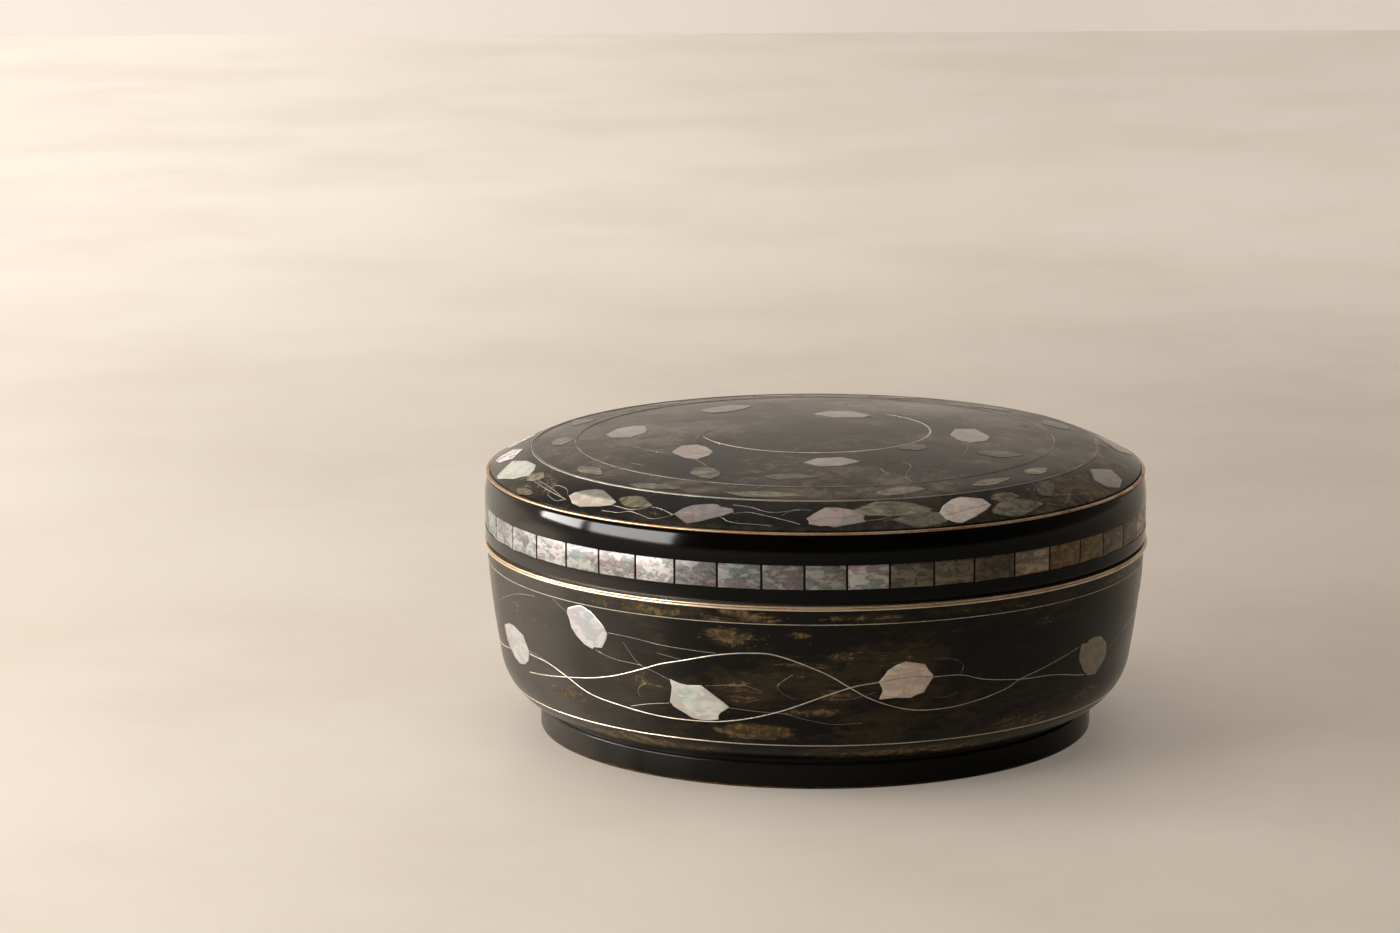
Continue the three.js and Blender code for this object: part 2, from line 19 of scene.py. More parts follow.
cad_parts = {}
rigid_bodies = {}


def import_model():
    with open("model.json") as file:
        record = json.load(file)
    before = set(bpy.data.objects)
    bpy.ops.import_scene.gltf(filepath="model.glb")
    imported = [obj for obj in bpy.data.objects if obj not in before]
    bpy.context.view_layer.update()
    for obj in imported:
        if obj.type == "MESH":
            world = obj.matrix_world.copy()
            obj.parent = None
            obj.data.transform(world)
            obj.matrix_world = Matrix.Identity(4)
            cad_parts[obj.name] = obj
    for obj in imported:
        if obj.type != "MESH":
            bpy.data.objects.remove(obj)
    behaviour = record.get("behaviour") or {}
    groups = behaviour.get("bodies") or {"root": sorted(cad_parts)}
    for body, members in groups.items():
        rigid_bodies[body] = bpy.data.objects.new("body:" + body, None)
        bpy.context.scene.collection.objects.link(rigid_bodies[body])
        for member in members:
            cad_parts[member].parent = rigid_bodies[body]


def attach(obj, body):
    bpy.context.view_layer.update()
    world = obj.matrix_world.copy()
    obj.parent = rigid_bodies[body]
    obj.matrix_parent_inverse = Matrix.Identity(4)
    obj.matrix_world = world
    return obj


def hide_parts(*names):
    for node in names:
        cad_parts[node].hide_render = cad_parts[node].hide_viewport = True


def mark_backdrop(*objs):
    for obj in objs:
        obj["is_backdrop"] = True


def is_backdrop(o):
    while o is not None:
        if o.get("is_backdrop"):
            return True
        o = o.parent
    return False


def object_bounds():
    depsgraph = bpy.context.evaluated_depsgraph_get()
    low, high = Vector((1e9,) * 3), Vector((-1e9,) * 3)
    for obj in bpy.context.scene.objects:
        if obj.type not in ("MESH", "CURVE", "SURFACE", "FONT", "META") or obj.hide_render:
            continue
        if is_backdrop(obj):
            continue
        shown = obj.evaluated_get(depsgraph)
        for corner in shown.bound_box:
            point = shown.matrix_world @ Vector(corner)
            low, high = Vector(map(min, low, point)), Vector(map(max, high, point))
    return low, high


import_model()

log = logging.getLogger("lacquer_box")

MM = 0.001
WELD = 0.002 * MM
ROUND_STEPS = 240
CAD_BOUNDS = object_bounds()

Point = tuple[float, float]
Place = tuple[float, float, float]
Colour = tuple[float, float, float]
Piece = bpy.types.Object
Owner = bpy.types.Material | bpy.types.World


class Slot(Enum):
    """Material slots of the record."""

    CORE = "core"
    LACQUER = "lacquer"
    SHELL = "shell"
    BRASS = "brass"
    COPPER = "copper"


class Half(Enum):
    """The two bodies of the box."""

    BASE = "base"
    LID = "lid"


# Shader graphs


class Value:
    """What varies over a surface, with the operators that the finishes need."""

    def __init__(self, graph: "Graph", socket: bpy.types.NodeSocket) -> None:
        """Wraps one output socket of a graph."""
        self.graph = graph
        self.socket = socket

    def math(self, operation: str, *others: "Value | float") -> "Value":
        """Adds one Math node.

        Args:
            operation: the node's operation.
            others: its second and third inputs.

        Returns:
            The node's result.
        """
        return self.graph.value("ShaderNodeMath", {"operation": operation}, dict(enumerate((self, *others))))

    def __add__(self, other: "Value | float") -> "Value":
        """Sum."""
        return self.math("ADD", other)

    __radd__ = __add__

    def __mul__(self, other: "Value | float") -> "Value":
        """Product."""
        return self.math("MULTIPLY", other)

    __rmul__ = __mul__

    def __sub__(self, other: "Value | float") -> "Value":
        """Difference."""
        return self.math("SUBTRACT", other)

    def __rsub__(self, other: float) -> "Value":
        """Difference from a number, as in 1 - mask."""
        return self.math("MULTIPLY_ADD", -1.0, other)

    def step(self, low: float, high: float, curve: str = "SMOOTHSTEP") -> "Value":
        """Rises from 0 to 1.

        Args:
            low: value at which the result leaves 0.
            high: value at which the result reaches 1.
            curve: how it rises between them.

        Returns:
            The result.
        """
        settings = {"interpolation_type": curve, "clamp": True}
        inputs = {"Value": self, "From Min": low, "From Max": high}
        return self.graph.value("ShaderNodeMapRange", settings, inputs)


class Graph:
    """The node tree of a material or a world."""

    def __init__(self, owner: Owner, shader: str = "Principled BSDF", where: str = "Object") -> None:
        """Takes up the tree of a new material or world.

        Args:
            owner: the material or world.
            shader: name of the shader that ends its tree.
            where: the coordinates at which its patterns are read.
        """
        owner.use_nodes = True
        self.owner = owner
        self.tree = owner.node_tree
        self.shader = self.tree.nodes[shader]
        self.place = self.value("ShaderNodeTexCoord", output=where)

    def node(self, kind: str, settings: dict | None = None, inputs: dict | None = None) -> bpy.types.Node:
        """Adds a node.

        Args:
            kind: the node's type.
            settings: its properties, set before its sockets.
            inputs: values or links of its sockets, by name or number.

        Returns:
            The new node.
        """
        node = self.tree.nodes.new(kind)
        for key, value in (settings or {}).items():
            setattr(node, key, value)
        for key, value in (inputs or {}).items():
            self.feed(node.inputs[key], value)
        return node

    def value(
        self, kind: str, settings: dict | None = None, inputs: dict | None = None, output: str | int = 0
    ) -> Value:
        """Adds a node and takes one of its outputs.

        Args:
            kind: the node's type.
            settings: its properties.
            inputs: values or links of its sockets.
            output: name or number of the output.

        Returns:
            The output.
        """
        return Value(self, self.node(kind, settings, inputs).outputs[output])

    def feed(self, socket: bpy.types.NodeSocket, value: object) -> None:
        """Links a value to a socket, or sets the socket to a constant.

        Args:
            socket: input of a node.
            value: a value of the graph, or a number, colour or vector.
        """
        if isinstance(value, Value):
            self.tree.links.new(value.socket, socket)
        elif isinstance(value, tuple) and len(value) == 3 and socket.type == "RGBA":
            socket.default_value = (*value, 1.0)
        else:
            socket.default_value = value

    def vector(self, operation: str, *inputs: "Value | Place") -> Value:
        """Adds one Vector Math node, for vectors or colours."""
        return self.value("ShaderNodeVectorMath", {"operation": operation}, dict(enumerate(inputs)))

    def spread(self, scale: Place, shift: Value | None = None) -> Value:
        """Stretches the place by a scale, after a shift where one is given."""
        place = self.place if shift is None else self.vector("ADD", self.place, shift)
        return self.vector("MULTIPLY", place, scale)

    def noise(
        self, place: Value, scale: float, detail: float = 4.0, rough: float = 0.55, twist: float = 0.0
    ) -> Value:
        """Adds a noise texture.

        Args:
            place: where it is read.
            scale: cells per metre.
            detail: octaves.
            rough: weight of the finer octaves.
            twist: distortion.

        Returns:
            The noise, about 0.5 on average.
        """
        inputs = {"Vector": place, "Scale": scale, "Detail": detail, "Roughness": rough, "Distortion": twist}
        return self.value("ShaderNodeTexNoise", None, inputs, "Fac")

    def cells(self, place: Value, scale: float, feature: str = "F1", output: str = "Distance") -> Value:
        """Adds a Voronoi texture and gives one of its outputs."""
        inputs = {"Vector": place, "Scale": scale}
        return self.value("ShaderNodeTexVoronoi", {"feature": feature}, inputs, output)

    def mix(self, factor: "Value | float", low: "Value | Colour", high: "Value | Colour") -> Value:
        """Blends two colours, from the first at factor 0 to the second at 1."""
        return self.value("ShaderNodeMix", {"data_type": "RGBA"}, {0: factor, 6: low, 7: high}, 2)

    def attribute(self, name: str, output: str = "Fac") -> Value:
        """Reads an attribute that the piece carries."""
        return self.value("ShaderNodeAttribute", {"attribute_name": name}, output=output)

    def bump(self, height: Value, strength: float, distance: float) -> None:
        """Bends the shader's normal by a height in millimetres times the distance."""
        inputs = {"Strength": strength, "Distance": distance * MM, "Height": height}
        self.finish(Normal=self.value("ShaderNodeBump", None, inputs, "Normal"))

    def finish(self, **sockets: "Value | float | Colour") -> Owner:
        """Feeds the shader.

        Args:
            sockets: its sockets by name, with underscores for spaces.

        Returns:
            The finished material or world.
        """
        for name, value in sockets.items():
            self.feed(self.shader.inputs[name.replace("_", " ")], value)
        return self.owner


@dataclass(frozen=True)
class Lacquer:
    """Polished black-brown lacquer with amber and olive clouds under its gloss, and a painted sheen of window
    light.
    """

    name: str
    ground: Colour = (0.0045, 0.004, 0.003)
    olive: Colour = (0.045, 0.033, 0.016)
    amber: Colour = (0.23, 0.15, 0.066)
    umber: Colour = (0.06, 0.04, 0.018)
    # Colour of the painted sheen: a greyed haze that stands in for reflected window light.
    bloom: Colour = (0.105, 0.094, 0.079)
    smoke: Colour = (0.5, 0.475, 0.4)
    dust: Colour = (0.22, 0.19, 0.14)
    cloud: float = 0.8
    roughness: float = 0.24
    gloss_spread: float = 0.16
    specular: float = 0.14
    flat: float = 2.6

    def material(self) -> bpy.types.Material:
        """Builds the node material.

        Returns:
            The material.
        """
        graph = Graph(bpy.data.materials.new(self.name))
        drawn_out = graph.spread((1.0, 1.0, self.flat))
        streaks = graph.noise(drawn_out, 62.0, 9.0, 0.7, 1.8)
        clouds = graph.noise(drawn_out, 14.0, 4.0, 0.55, 0.8)
        grain = graph.noise(graph.place, 420.0, 3.0, 0.7)
        strokes = graph.noise(graph.spread((1.0, 1.0, 1.5 * self.flat)), 36.0, 10.0, 0.74, 2.6)
        patch = graph.attribute("stain")
        shown = (1 - graph.attribute("clear")) * self.cloud
        haze = (0.62 * clouds + 0.3 * streaks + 0.36 * strokes + 0.22 * patch).step(0.6, 0.78) * shown
        haze = haze * (0.5 + 0.62 * streaks.step(0.3, 0.6))
        ground = graph.mix(haze, self.ground, self.olive)
        # Painted sheen: the coat is greyed towards a pale colour where window light would be reflected.
        sheen_share = graph.attribute("bloom") * (0.7 + 0.6 * (clouds - 0.5))
        ground = graph.mix(sheen_share, ground, self.bloom)
        flecked = (1.9 * strokes + 0.2 * grain + 0.62 * patch).step(1.34, 1.48) * patch.step(0.03, 0.25)
        amber = graph.mix((grain + streaks).step(0.88, 1.22), self.umber, self.amber)
        colour = graph.mix(flecked * 0.92, ground, amber)
        colour = self.veil(graph, colour)
        dots = graph.cells(graph.place, 210.0).step(0.0, 0.09)
        rare = graph.noise(graph.place, 60.0, 2.0).step(0.62, 0.68)
        colour = graph.mix((1 - dots) * rare * 0.4, colour, self.dust)
        hairs = graph.noise(graph.spread((1.0, 1.0, 9.0)), 90.0, 6.0, 0.8, 2.5)
        worn = graph.noise(drawn_out, 26.0, 5.0, 0.7)
        graph.bump(hairs + 0.6 * flecked, 0.1, 0.03)
        roughness = self.roughness + self.gloss_spread * (worn - 0.5) + 0.1 * flecked
        return graph.finish(Base_Color=colour, Roughness=roughness, IOR=1.5, Specular_IOR_Level=self.specular)

    def veil(self, graph: Graph, colour: Value) -> Value:
        """Shows a leaf that lies under the lacquer as streaks of smoky shell; other pieces have no core.

        Args:
            graph: the material's graph.
            colour: the lacquer's own colour.

        Returns:
            The veiled colour.
        """
        cut, tint = graph.attribute("cut", "Color"), graph.attribute("tint", "Color")
        threads = graph.noise(graph.spread((0.35, 1.0, 1.0), cut), 230.0, 7.0, 0.78, 2.2)
        veiled = graph.attribute("core").step(0.0, 0.1) * (0.3 + 0.66 * threads.step(0.42, 0.64))
        return graph.mix(veiled, colour, graph.vector("MULTIPLY", tint, self.smoke))


@dataclass(frozen=True)
class Shell:
    """Mother-of-pearl: pale, with soft folds of pink, green and grey, other ones in each cut, and painted
    glints.
    """

    name: str
    pale: Colour = (0.78, 0.74, 0.69)
    grey: Colour = (0.4, 0.36, 0.36)
    rose: Colour = (0.78, 0.5, 0.5)
    green: Colour = (0.42, 0.68, 0.6)
    painted_glint: Colour = (0.92, 0.92, 0.9)
    roughness: float = 0.2
    folds: float = 1.0
    colouring: float = 0.5
    specular: float = 0.4
    scale: float = 1.0

    def material(self) -> bpy.types.Material:
        """Builds the node material.

        Returns:
            The material.
        """
        graph = Graph(bpy.data.materials.new(self.name))
        cut, tint = graph.attribute("cut", "Color"), graph.attribute("tint", "Color")
        place = graph.spread((self.scale,) * 3, cut)
        turned = {"Vector": place, "Rotation": (0.35, 0.25, 0.2), "Scale": (0.85, 0.85, 1.9)}
        slant = graph.value("ShaderNodeMapping", None, turned)
        flakes = graph.cells(slant, 170.0, output="Color")
        shards = graph.cells(slant, 390.0, output="Color")
        drawn_out = graph.spread((self.scale, self.scale, 1.6 * self.scale), cut)
        folds = graph.noise(drawn_out, 95.0, 5.0, 0.62, 2.6)
        broad = graph.noise(place, 75.0, 3.0, 0.55, 1.6)
        ripple = graph.noise(slant, 250.0, 5.0, 0.7, 1.2)
        shadow = 0.8 * folds + 0.26 * flakes + 0.2 * shards + 0.3 * (ripple - 0.5)
        colour = graph.mix(shadow.step(0.53, 0.7) * self.folds * 0.8, self.pale, self.grey)
        blush = (0.8 * broad + 0.3 * flakes + 0.15 * shards).step(0.62, 0.78) * self.colouring
        colour = graph.mix(blush, colour, self.rose)
        sea = (0.85 * (1 - broad) + 0.36 * shards + 0.12 * flakes).step(0.68, 0.84) * self.colouring
        colour = graph.mix(sea, colour, self.green)
        # Painted glints: near-white lines along cell edges and specks on ripple peaks, where the folds are
        # mid-toned.
        glint_lines = 1 - graph.cells(place, 190.0, "DISTANCE_TO_EDGE").step(0.0, 0.035)
        bright = (glint_lines + ripple.step(0.6, 0.75)) * folds.step(0.4, 0.62)
        colour = graph.mix(bright * 0.45 * self.folds, colour, self.painted_glint)
        graph.bump(folds + 0.3 * ripple + 0.1 * flakes, 0.4, 0.1)
        return graph.finish(
            Base_Color=graph.vector("MULTIPLY", colour, tint), Metallic=0.05, IOR=1.53,
            Roughness=self.roughness + 0.2 * (ripple - 0.4), Specular_IOR_Level=self.specular,
        )


@dataclass(frozen=True)
class Wire:
    """Drawn metal wire, rubbed bright in places and dulled by lacquer in others."""

    name: str
    bright: Colour = (0.72, 0.62, 0.48)
    dull: Colour = (0.3, 0.2, 0.1)
    wear: float = 0.5
    roughness: float = 0.26
    metallic: float = 0.85

    def material(self) -> bpy.types.Material:
        """Builds the node material.

        Returns:
            The material.
        """
        graph = Graph(bpy.data.materials.new(self.name))
        rub = graph.noise(graph.place, 70.0, 5.0, 0.7)
        nicks = graph.noise(graph.place, 600.0, 3.0, 0.6)
        worn = (rub + 0.4 * nicks).step(0.48, 0.95) * self.wear
        colour = graph.mix(worn, self.bright, self.dull)
        graph.bump(nicks, 0.1, 0.03)
        return graph.finish(Base_Color=colour, Roughness=self.roughness + 0.3 * worn, Metallic=self.metallic)


@dataclass(frozen=True)
class Plain:
    """Quiet surface of the stage, with a faint mottle. Camera and mirror rays see it glow, with painted light
    and shade.
    """

    name: str
    light: Colour
    shade: Colour
    roughness: float = 0.6
    glow: float = 0.0
    # Painted light brightens the surface far off and towards the left; painted shade darkens it near the
    # window lamps, towards the dim colour.
    painted_light_far: float = 0.0
    painted_light_left: float = 0.0
    painted_shade_near_lamps: float = 0.0
    dim: Colour = (0.16, 0.145, 0.125)

    def material(self) -> bpy.types.Material:
        """Builds the node material.

        Returns:
            The material.
        """
        graph = Graph(bpy.data.materials.new(self.name))
        mottle = graph.noise(graph.place, 5.0, 6.0, 0.6)
        colour = graph.mix(mottle.step(0.35, 0.7), self.light, self.shade)
        parts = graph.node("ShaderNodeSeparateXYZ", None, {0: graph.place}).outputs
        across, along = (Value(graph, parts[axis]) for axis in "XY")
        # Painted shade: near the window lamps the colour is darkened and the glow is cut.
        shade_share = (1 - across.step(-1.0, -0.42)) * (1 - along.step(0.5, 1.3)) * self.painted_shade_near_lamps
        rays = graph.node("ShaderNodeLightPath").outputs
        kinds = ("Camera", "Glossy", "Transmission")
        camera, glossy, through = (Value(graph, rays[f"Is {kind} Ray"]) for kind in kinds)
        seen = camera * (1 - shade_share) + glossy + through
        reach = graph.value("ShaderNodeVectorMath", {"operation": "LENGTH"}, {0: graph.place}, "Value")
        # Painted light: the glow grows far from the box and towards the left.
        glow = self.glow + reach.step(0.35, 1.5) * self.painted_light_far
        glow = glow + (1 - across.step(-0.9, 0.35)) * self.painted_light_left
        light = graph.value("ShaderNodeVectorMath", {"operation": "SCALE"}, {0: colour, "Scale": seen * glow})
        dimmed = graph.mix(shade_share, colour, self.dim)
        return graph.finish(
            Base_Color=dimmed, Roughness=self.roughness, Specular_IOR_Level=0.25, Emission_Color=light,
            Emission_Strength=1.0,
        )


BLACK: Colour = (0.0022, 0.002, 0.0017)


class Finish(Enum):
    """Every finish of the box."""

    BODY = Lacquer("body_lacquer")
    SIDE = Lacquer(
        "side_lacquer", ground=BLACK, olive=(0.006, 0.005, 0.004), cloud=0.3, roughness=0.1,
        gloss_spread=0.12, specular=0.11,
    )
    DOME = Lacquer(
        "dome_lacquer", ground=(0.004, 0.0034, 0.0025), olive=(0.15, 0.12, 0.08), cloud=1.0, roughness=0.22,
        gloss_spread=0.3, specular=0.06, flat=1.0,
    )
    FOOT = Lacquer(
        "foot_lacquer", ground=BLACK, olive=(0.012, 0.01, 0.008), amber=(0.2, 0.085, 0.03), cloud=0.4,
        roughness=0.22, specular=0.06,
    )
    INSIDE = Lacquer("inside_lacquer", ground=(0.016, 0.012, 0.009), cloud=0.3, roughness=0.42, specular=0.4)
    LEAF = Shell("leaf_shell", colouring=0.28, folds=0.62, scale=0.8)
    TILE = Shell(
        "tile_shell", pale=(0.86, 0.83, 0.81), grey=(0.28, 0.243, 0.252), colouring=0.42, folds=1.2,
        scale=1.1, roughness=0.32, specular=0.16,
    )
    RIM_BRIGHT = Wire("rim_brass", (0.7, 0.585, 0.43), (0.36, 0.23, 0.11))
    RIM_BROWN = Wire("rim_brown_brass", (0.66, 0.54, 0.38), (0.3, 0.18, 0.07), wear=0.75)
    VINE = Wire("vine_wire", (0.8, 0.735, 0.61), (0.3, 0.25, 0.17), wear=0.8, metallic=0.45)
    STEM = Wire("stem_wire", (0.31, 0.285, 0.235), (0.12, 0.105, 0.075), 1.0, roughness=0.4, metallic=0.35)
    RING = Wire("ring_wire", (0.36, 0.33, 0.28), (0.19, 0.17, 0.135), wear=0.8, roughness=0.5, metallic=0.2)
    COPPER = Wire("edge_copper", (0.52, 0.385, 0.26), (0.26, 0.125, 0.05), wear=1.0)

    @functools.cache
    def material(self) -> bpy.types.Material:
        """Builds the finish's material, once."""
        return self.value.material()


# Modelling


class Bench:
    """Modelling operators, used on one piece at a time."""

    chamfer_rise: float = 0.35
    peak: float = 0.04

    @staticmethod
    def clear() -> None:
        """Leaves edit mode and deselects every object."""
        if bpy.context.object is not None and bpy.context.object.mode != "OBJECT":
            bpy.ops.object.mode_set(mode="OBJECT")
        bpy.ops.object.select_all(action="DESELECT")

    @staticmethod
    def draw(name: str, line: list[Vector], closed: bool) -> Piece:
        """Draws a line by extruding a point along it, and stays in edit mode.

        Args:
            name: name of the new piece.
            line: places of the points, in metres.
            closed: whether the line returns to its first point.

        Returns:
            The piece, with all of the line selected.
        """
        Bench.clear()
        bpy.ops.mesh.primitive_plane_add(size=MM, location=line[0])
        piece = bpy.context.object
        piece.name = piece.data.name = name
        bpy.ops.object.mode_set(mode="EDIT")
        bpy.ops.mesh.merge(type="CENTER")
        for before, after in zip(line, line[1:] + line[:1] if closed else line[1:]):
            bpy.ops.mesh.extrude_region_move(TRANSFORM_OT_translate={"value": after - before})
        bpy.ops.mesh.select_all(action="SELECT")
        bpy.ops.mesh.remove_doubles(threshold=WELD)
        return piece

    @staticmethod
    def close(piece: Piece, smooth: float = 35.0) -> Piece:
        """Merges doubles, turns faces outwards, leaves edit mode and applies the place.

        Args:
            piece: the piece in edit mode.
            smooth: edges that bend less than this stay smooth, in degrees.

        Returns:
            The piece, with its object at the origin.
        """
        bpy.ops.mesh.select_all(action="SELECT")
        bpy.ops.mesh.remove_doubles(threshold=WELD)
        bpy.ops.mesh.normals_make_consistent(inside=False)
        bpy.ops.object.mode_set(mode="OBJECT")
        bpy.ops.object.transform_apply(location=True, rotation=True, scale=True)
        bpy.ops.object.shade_smooth_by_angle(angle=math.radians(smooth))
        return piece

    @staticmethod
    def turn(name: str, outline: list[Point], smooth: float = 35.0) -> Piece:
        """Turns an outline of radius and height round the axis.

        Args:
            name: name of the new piece.
            outline: closed outline, or one that starts and ends on the axis.
            smooth: edges that bend less than this stay smooth, in degrees.

        Returns:
            The finished piece.
        """
        on_axis = outline[0][0] == 0
        line = [Vector((radius * MM, 0.0, height * MM)) for radius, height in outline]
        piece = Bench.draw(name, line, closed=not on_axis)
        bpy.ops.mesh.spin(steps=ROUND_STEPS, angle=math.tau, center=(0, 0, 0), axis=(0, 0, 1))
        return Bench.close(piece, smooth)

    @staticmethod
    def plate(name: str, outline: list[Point], sunk: float, proud: float, chamfer: float) -> Piece:
        """Cuts a flat plate with a chamfered upper edge and a low peak, divided finely enough to bend.

        Its attribute core rises from 0 at the outline to 1 at the peak.

        Args:
            name: name of the new piece.
            outline: its outline, across and up.
            sunk: depth of its underside below the surface.
            proud: height of its upper edge above the surface.
            chamfer: width of the chamfer.

        Returns:
            The finished piece.
        """
        piece = Bench.draw(name, [Vector((x * MM, y * MM, -sunk * MM)) for x, y in outline], closed=True)
        bpy.ops.mesh.edge_face_add()
        face = next(iter(bmesh.from_edit_mesh(piece.data).faces))
        if face.normal.z < 0:
            bpy.ops.mesh.flip_normals()
        bpy.ops.mesh.extrude_region_move(TRANSFORM_OT_translate={"value": (0, 0, (sunk + proud) * MM)})
        bpy.ops.mesh.inset(thickness=chamfer * MM, depth=Bench.chamfer_rise * chamfer * MM)
        bpy.ops.mesh.poke(offset=Bench.peak * MM)
        mesh = bmesh.from_edit_mesh(piece.data)
        core = mesh.verts.layers.float.new("core")
        max(mesh.verts, key=lambda vert: vert.co.z)[core] = 1.0
        bmesh.update_edit_mesh(piece.data)
        bpy.ops.mesh.select_all(action="SELECT")
        bpy.ops.mesh.subdivide(number_cuts=2)
        return Bench.close(piece, smooth=12.0)

    @staticmethod
    def tube(name: str, line: list[Vector], radii: Sequence[float]) -> Piece:
        """Draws a round wire.

        Args:
            name: name of the new piece.
            line: places of its points, in metres.
            radii: radius at each point, in millimetres.

        Returns:
            The finished piece.
        """
        piece = Bench.draw(name, line, closed=False)
        bpy.ops.object.mode_set(mode="OBJECT")
        bpy.ops.object.convert(target="CURVE")
        piece = bpy.context.object
        piece.data.bevel_depth = MM
        piece.data.bevel_resolution = 2
        piece.data.use_fill_caps = True
        points = piece.data.splines[0].points
        start = line[0] - piece.location
        if (points[0].co.xyz - start).length > (points[-1].co.xyz - start).length:
            radii = radii[::-1]
        for point, radius in zip(points, radii):
            point.radius = radius
        bpy.ops.object.convert(target="MESH")
        bpy.ops.object.mode_set(mode="EDIT")
        return Bench.close(bpy.context.object, smooth=60.0)

    @staticmethod
    def block(middle: Place, size: Place, edge: float, segments: int) -> Piece:
        """Makes a block with bevelled edges.

        Args:
            middle: its middle, in metres.
            size: its width, depth and height.
            edge: width of the bevel.
            segments: faces across the bevel.

        Returns:
            The finished piece.
        """
        Bench.clear()
        bpy.ops.mesh.primitive_cube_add(size=MM, location=middle)
        piece = bpy.context.object
        bpy.ops.object.mode_set(mode="EDIT")
        bpy.ops.transform.resize(value=size)
        bpy.ops.mesh.bevel(offset=edge * MM, segments=segments)
        return Bench.close(piece, smooth=30.0)

    @staticmethod
    def repeat(name: str, first: Piece, count: int) -> list[Piece]:
        """Copies a piece, each copy with a mesh of its own.

        Args:
            name: name of the pieces, which are numbered.
            first: the piece.
            count: number of pieces in all.

        Returns:
            The piece and its copies.
        """
        pieces = [first]
        for _ in range(count - 1):
            Bench.clear()
            first.select_set(True)
            bpy.context.view_layer.objects.active = first
            bpy.ops.object.duplicate(linked=False)
            pieces.append(bpy.context.object)
        for number, piece in enumerate(pieces, start=1):
            piece.name = piece.data.name = f"{name}_{number}"
        return pieces


@dataclass(frozen=True)
class Dressing:
    """How a finished piece joins the box: its body, its slot and its finish."""

    half: Half
    slot: Slot
    finish: Finish

    def dress(self, piece: Piece, *nodes: str) -> Piece:
        """Gives the piece its material and body, and reports it.

        Args:
            piece: the finished piece.
            nodes: the nodes that it stands for.

        Returns:
            The piece.
        """
        piece.data.materials.clear()
        piece.data.materials.append(self.finish.material())
        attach(piece, self.half.value)
        if nodes:
            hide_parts(*nodes)
        log.info("%s: %d faces", piece.name, len(piece.data.polygons))
        return piece

    def turn(self, name: str, outline: list[Point], *nodes: str) -> Piece:
        """Turns a piece and dresses it."""
        return self.dress(Bench.turn(name, outline), *nodes)


def arc(centre: Point, radius: float, start: float, end: float, steps: int) -> list[Point]:
    """Points on an arc.

    Args:
        centre: its centre.
        radius: its radius.
        start: angle of its first point, in degrees from the first axis.
        end: angle of its last point.
        steps: number of chords.

    Returns:
        The points, ends included.
    """
    angles = [math.radians(start + (end - start) * i / steps) for i in range(steps + 1)]
    return [(centre[0] + radius * math.cos(a), centre[1] + radius * math.sin(a)) for a in angles]


def smooth_line(points: list[Point], spacing: float) -> np.ndarray:
    """Runs a smooth curve through points.

    Args:
        points: the points.
        spacing: wanted distance between the points of the result.

    Returns:
        The finer points, one row each.
    """
    rows = np.array(points, float)
    if len(rows) == 2:
        count = max(1, math.ceil(float(np.linalg.norm(rows[1] - rows[0])) / spacing))
        return np.linspace(rows[0], rows[1], count + 1)
    padded = np.vstack([2 * rows[0] - rows[1], rows, 2 * rows[-1] - rows[-2]])
    fine = []
    for a, b, c, d in zip(padded, padded[1:], padded[2:], padded[3:]):
        count = max(1, math.ceil(float(np.linalg.norm(c - b)) / spacing))
        square, cube = 2 * a - 5 * b + 4 * c - d, 3 * b - a - 3 * c + d
        for t in np.arange(count) / count:
            fine.append(0.5 * (2 * b + (c - a) * t + square * t**2 + cube * t**3))
    fine.append(rows[-1])
    return np.array(fine)


def points_of(piece: Piece) -> np.ndarray:
    """Gives the x, y and z of a piece's points as three rows.

    Args:
        piece: the piece to read.

    Returns:
        The three rows, in millimetres.
    """
    flat = np.empty(len(piece.data.vertices) * 3)
    piece.data.vertices.foreach_get("co", flat)
    return (flat.reshape(-1, 3) / MM).T


def move_points(piece: Piece, x: np.ndarray, y: np.ndarray, z: np.ndarray) -> None:
    """Gives a piece's points new places."""
    piece.data.vertices.foreach_set("co", (np.stack([x, y, z], 1) * MM).ravel())
    piece.data.update()


# The box


